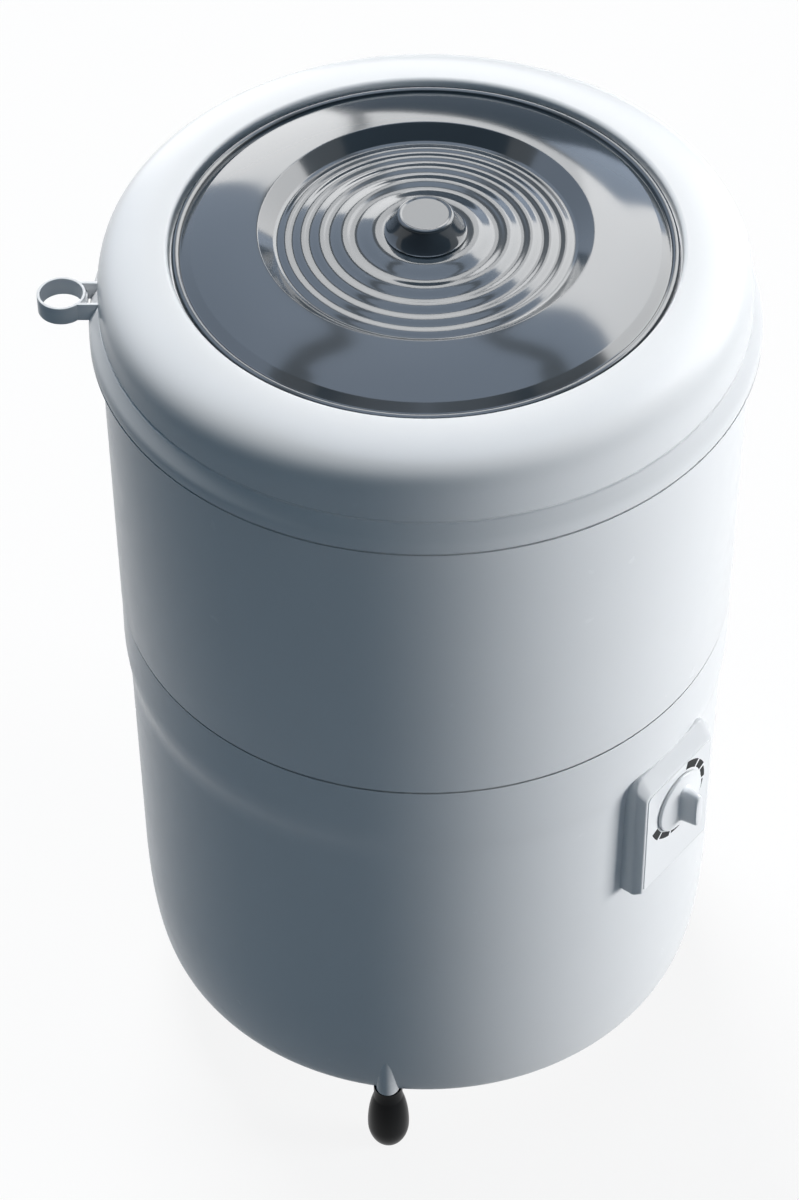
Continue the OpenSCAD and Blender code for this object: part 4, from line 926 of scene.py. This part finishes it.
@dataclass(frozen=True)
class Pane:
    """A pane that glossy surfaces mirror.

    It has a strength at the lid's height and one at the top, its corners as azimuth and elevation in
    degrees, and a colour.
    """

    name: str
    low: float
    high: float
    corners: tuple[tuple[float, float], ...]
    colour: Colour = WHITE


PANES: tuple[Pane, ...] = (
    Pane("right_window", 5, 12, (
        (10, 4), (40, 5), (56, 12), (63, 20), (66.5, 26), (69, 27), (76, 25), (76, 50.3), (60, 52),
        (45, 52.5), (28, 52), (10, 50))),
    Pane("back_window", 4.2, 8.2, (
        (76, 25), (80, 23.5), (90, 17.5), (95, 11.5), (94.3, 24), (94, 47), (84, 49), (76, 50.3))),
    Pane("left_window", 4.2, 11, (
        (98.5, -5), (119.5, -5), (118, 0), (113, 15), (109, 24), (104.5, 31.5), (96, 34), (95.6, 25),
        (96.3, 12), (97.8, 2))),
    Pane("right_mullion", 2.9, 3.5, (
        (58, 4), (74, 12), (80, 21), (72, 26), (69, 27), (66.5, 26), (63, 20), (56, 12), (48, 8)), BLUISH),
    Pane("right_wall", 2.2, 4, (
        (10, 50), (28, 52), (45, 52.5), (60, 52), (76, 50.3), (77.5, 56.5), (70, 60), (60, 61.5),
        (45, 62), (28, 62), (10, 60)), BLUISH),
    Pane("left_wall", 1.6, 3.7, (
        (118, 0), (150, -3), (180, 5), (180, 55), (160, 60), (145, 62), (130, 61.5), (118, 60.5),
        (109, 58), (104, 54), (106, 48), (104.5, 31.5), (109, 24), (113, 15)), BLUISH),
    Pane("ceiling", 2.2, 3.9, (
        (0, 66), (34, 67.5), (45, 65.5), (60, 65), (70, 63.5), (79, 59), (84, 52), (100, 52), (103, 58),
        (108, 62), (116, 64.5), (126, 65.5), (140, 66), (147, 68), (180, 66), (225, 70), (270, 72),
        (315, 70)), BLUISH),
    Pane("back_cloth", 0.35, 0.35, (
        (58, -5), (97.5, -5), (96.8, 3), (95.3, 9), (89, 15.5), (80, 21), (74, 12), (58, 4)), BLUISH),
    Pane("camera_cloth", 0.25, 0.25, (
        (195, 8), (230, 6), (270, 5), (310, 6), (345, 8), (340, 62), (310, 66), (270, 68), (230, 66),
        (200, 62)), BLUISH),
)


@dataclass(frozen=True)
class Lamp:
    """A soft lamp: its direction in degrees, its distance and its sides in metres, and its watts."""

    name: str
    azimuth: float
    elevation: float
    distance: float
    size: tuple[float, float]
    power: float


LAMPS: tuple[Lamp, ...] = (
    Lamp("back_light", 112.0, 62.0, 4.0, (1.6, 1.6), 152.0),
    Lamp("side_light", -6.0, -3.0, 4.0, (1.6, 2.0), 198.0),
    Lamp("front_light", -55.0, 12.0, 2.0, (1.2, 1.2), 2.2),
)


@dataclass
class Studio:
    """The floor, the lamps, the world and the camera. Lengths in metres and angles in degrees."""

    eye: Triple = (-1.6864, -1.3175, 2.592)
    heading: float = 38.0
    pitch: float = 45.68
    swing: float = 0.375
    lens: float = 120.0
    sensor: float = 36.0
    view_turn: float = -52.0
    target: Triple = (0.0, 0.0, 0.75)
    pane_reach: float = 8.0
    pane_top: float = 52.0
    floor_reach: float = 9.0
    floor_glow: float = 0.88
    floor_pale: Colour = (0.95, 0.95, 0.95)
    floor_dim: Colour = (0.09, 0.135, 0.18)
    fill: Colour = (0.47, 0.75, 1.0)
    fill_strength: float = 0.125

    def build(self) -> None:
        """Builds the camera and the stage."""
        self.build_camera()
        self.build_world()
        self.build_floor()
        for lamp in LAMPS:
            self.hang_lamp(lamp)
        for pane in PANES:
            self.hang_pane(pane)

    def build_camera(self) -> None:
        """Sets the camera where the photograph was taken from."""
        data = bpy.data.cameras.new("camera")
        data.lens = self.lens
        data.sensor_width = self.sensor
        data.clip_start = 0.05
        data.clip_end = 50.0
        camera = bpy.data.objects.new("camera", data)
        h, p = math.radians(self.heading), math.radians(self.pitch)
        ahead = Vector((math.cos(h) * math.cos(p), math.sin(h) * math.cos(p), -math.sin(p)))
        level = ahead.to_track_quat("-Z", "Y").to_matrix()
        swing = Matrix.Rotation(math.radians(self.swing), 3, "Y")
        camera.matrix_world = Matrix.Translation(self.eye) @ (level @ swing).to_4x4()
        bpy.context.scene.collection.objects.link(camera)
        bpy.context.scene.camera = camera
        bpy.context.scene.view_settings.view_transform = "Standard"

    @staticmethod
    def seen_directly(tree: bpy.types.NodeTree) -> bpy.types.NodeSocket:
        """Adds Is Camera, Is Glossy and Is Transmission Ray of a Light Path node, as one number."""
        path = tree.nodes.new("ShaderNodeLightPath")
        seen = path.outputs["Is Camera Ray"]
        for kind in ("Is Glossy Ray", "Is Transmission Ray"):
            both = tree.nodes.new("ShaderNodeMath")
            both.operation = "ADD"
            both.use_clamp = True
            tree.links.new(seen, both.inputs[0])
            tree.links.new(path.outputs[kind], both.inputs[1])
            seen = both.outputs[0]
        return seen

    def build_world(self) -> None:
        """Makes the world white where it is seen and a dim cool fill where it lights."""
        world = bpy.data.worlds.new("studio")
        world.use_nodes = True
        tree = world.node_tree
        tree.nodes.clear()
        fill = tree.nodes.new("ShaderNodeBackground")
        fill.inputs["Color"].default_value = (*self.fill, 1.0)
        fill.inputs["Strength"].default_value = self.fill_strength
        white = tree.nodes.new("ShaderNodeBackground")
        white.inputs["Color"].default_value = (*WHITE, 1.0)
        mix = tree.nodes.new("ShaderNodeMixShader")
        out = tree.nodes.new("ShaderNodeOutputWorld")
        tree.links.new(self.seen_directly(tree), mix.inputs["Fac"])
        tree.links.new(fill.outputs[0], mix.inputs[1])
        tree.links.new(white.outputs[0], mix.inputs[2])
        tree.links.new(mix.outputs[0], out.inputs["Surface"])
        bpy.context.scene.world = world

    def build_floor(self) -> None:
        """Makes a pale floor that keeps a soft shadow and looks white."""
        reach = self.floor_reach
        corners = [(-reach, -reach, 0.0), (reach, -reach, 0.0), (reach, reach, 0.0), (-reach, reach, 0.0)]
        floor, tree, out = self.stage_piece("floor", corners)
        dim = tree.nodes.new("ShaderNodeBsdfDiffuse")
        dim.inputs["Color"].default_value = (*self.floor_dim, 1.0)
        pale = tree.nodes.new("ShaderNodeBsdfDiffuse")
        pale.inputs["Color"].default_value = (*self.floor_pale, 1.0)
        glow = tree.nodes.new("ShaderNodeEmission")
        shown = tree.nodes.new("ShaderNodeMixShader")
        shown.inputs["Fac"].default_value = self.floor_glow
        mix = tree.nodes.new("ShaderNodeMixShader")
        tree.links.new(pale.outputs[0], shown.inputs[1])
        tree.links.new(glow.outputs[0], shown.inputs[2])
        tree.links.new(self.seen_directly(tree), mix.inputs["Fac"])
        tree.links.new(dim.outputs[0], mix.inputs[1])
        tree.links.new(shown.outputs[0], mix.inputs[2])
        tree.links.new(mix.outputs[0], out.inputs["Surface"])

    @staticmethod
    def stage_piece(name: str, corners: list[Triple | Vector]
                    ) -> tuple[bpy.types.Object, bpy.types.NodeTree, bpy.types.Node]:
        """Makes one flat face of the stage with an empty material of its own.

        Args:
            name: Name of the object and its material.
            corners: The corners of the face.

        Returns:
            The object, its material's node tree and the tree's output node.
        """
        mesh = bpy.data.meshes.new(name)
        mesh.from_pydata(corners, [], [list(range(len(corners)))])
        made = bpy.data.objects.new(name, mesh)
        material = bpy.data.materials.new(name)
        material.use_nodes = True
        tree = material.node_tree
        tree.nodes.clear()
        mesh.materials.append(material)
        bpy.context.scene.collection.objects.link(made)
        return made, tree, tree.nodes.new("ShaderNodeOutputMaterial")

    def way(self, azimuth: float, elevation: float) -> Vector:
        """Direction of an azimuth and an elevation in degrees, where azimuth 0 is to the camera's right."""
        a, e = math.radians(azimuth + self.view_turn), math.radians(elevation)
        return Vector((math.cos(a) * math.cos(e), math.sin(a) * math.cos(e), math.sin(e)))

    def hang_pane(self, pane: Pane) -> None:
        """Hangs one pane of the studio, which glossy surfaces mirror and which lights nothing else.

        Its corners lie on a sphere round the lid, so that a pane keeps the outline it was given. The
        strength rises evenly from the sphere's middle to the height of pane_top degrees.

        Args:
            pane: The pane.
        """
        middle = Vector(self.target)
        corners = [middle + self.way(a, e) * self.pane_reach for a, e in pane.corners]
        hung, tree, out = self.stage_piece(pane.name, corners)
        place = tree.nodes.new("ShaderNodeTexCoord")
        split = tree.nodes.new("ShaderNodeSeparateXYZ")
        rise = tree.nodes.new("ShaderNodeMapRange")
        top = self.pane_reach * math.sin(math.radians(self.pane_top))
        rise.inputs["From Min"].default_value = middle.z
        rise.inputs["From Max"].default_value = middle.z + top
        rise.inputs["To Min"].default_value = pane.low
        rise.inputs["To Max"].default_value = pane.high
        glow = tree.nodes.new("ShaderNodeEmission")
        glow.inputs["Color"].default_value = (*pane.colour, 1.0)
        tree.links.new(place.outputs["Object"], split.inputs[0])
        tree.links.new(split.outputs["Z"], rise.inputs["Value"])
        tree.links.new(rise.outputs["Result"], glow.inputs["Strength"])
        tree.links.new(glow.outputs[0], out.inputs["Surface"])
        hung.visible_camera = False
        hung.visible_diffuse = False
        hung.visible_shadow = False

    def hang_lamp(self, lamp: Lamp) -> None:
        """Adds a soft lamp aimed at the machine, which lights surfaces and isn't mirrored in them.

        Args:
            lamp: The lamp.
        """
        data = bpy.data.lights.new(lamp.name, "AREA")
        data.shape = "RECTANGLE"
        data.size, data.size_y = lamp.size
        data.energy = lamp.power
        hung = bpy.data.objects.new(lamp.name, data)
        way = self.way(lamp.azimuth, lamp.elevation)
        hung.location = Vector(self.target) + way * lamp.distance
        hung.rotation_mode = "QUATERNION"
        hung.rotation_quaternion = way.to_track_quat("Z", "Y")
        hung.visible_glossy = False
        bpy.context.scene.collection.objects.link(hung)


def dress_nodes(frame: dict, finishes: Finishes) -> None:
    """Gives each CAD node the finish of its slot in the record.

    Args:
        finishes: The finishes.
    """
    for row in frame["record"]["subparts"]:
        node = frame["nodes"][row["node"]]
        finishes.dress(node, row["material_slot"])


def main() -> None:
    """Builds the scene in order."""
    logging.basicConfig(level=logging.INFO, format="%(name)s: %(message)s")
    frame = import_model()
    Studio().build()
    finishes = Finishes()
    dress_nodes(frame, finishes)
    for group in (Casing(), TopRing(), Lid(), HoseCradle(), ControlBox(), Feet()):
        group.build(finishes)


if __name__ == "__main__":
    main()
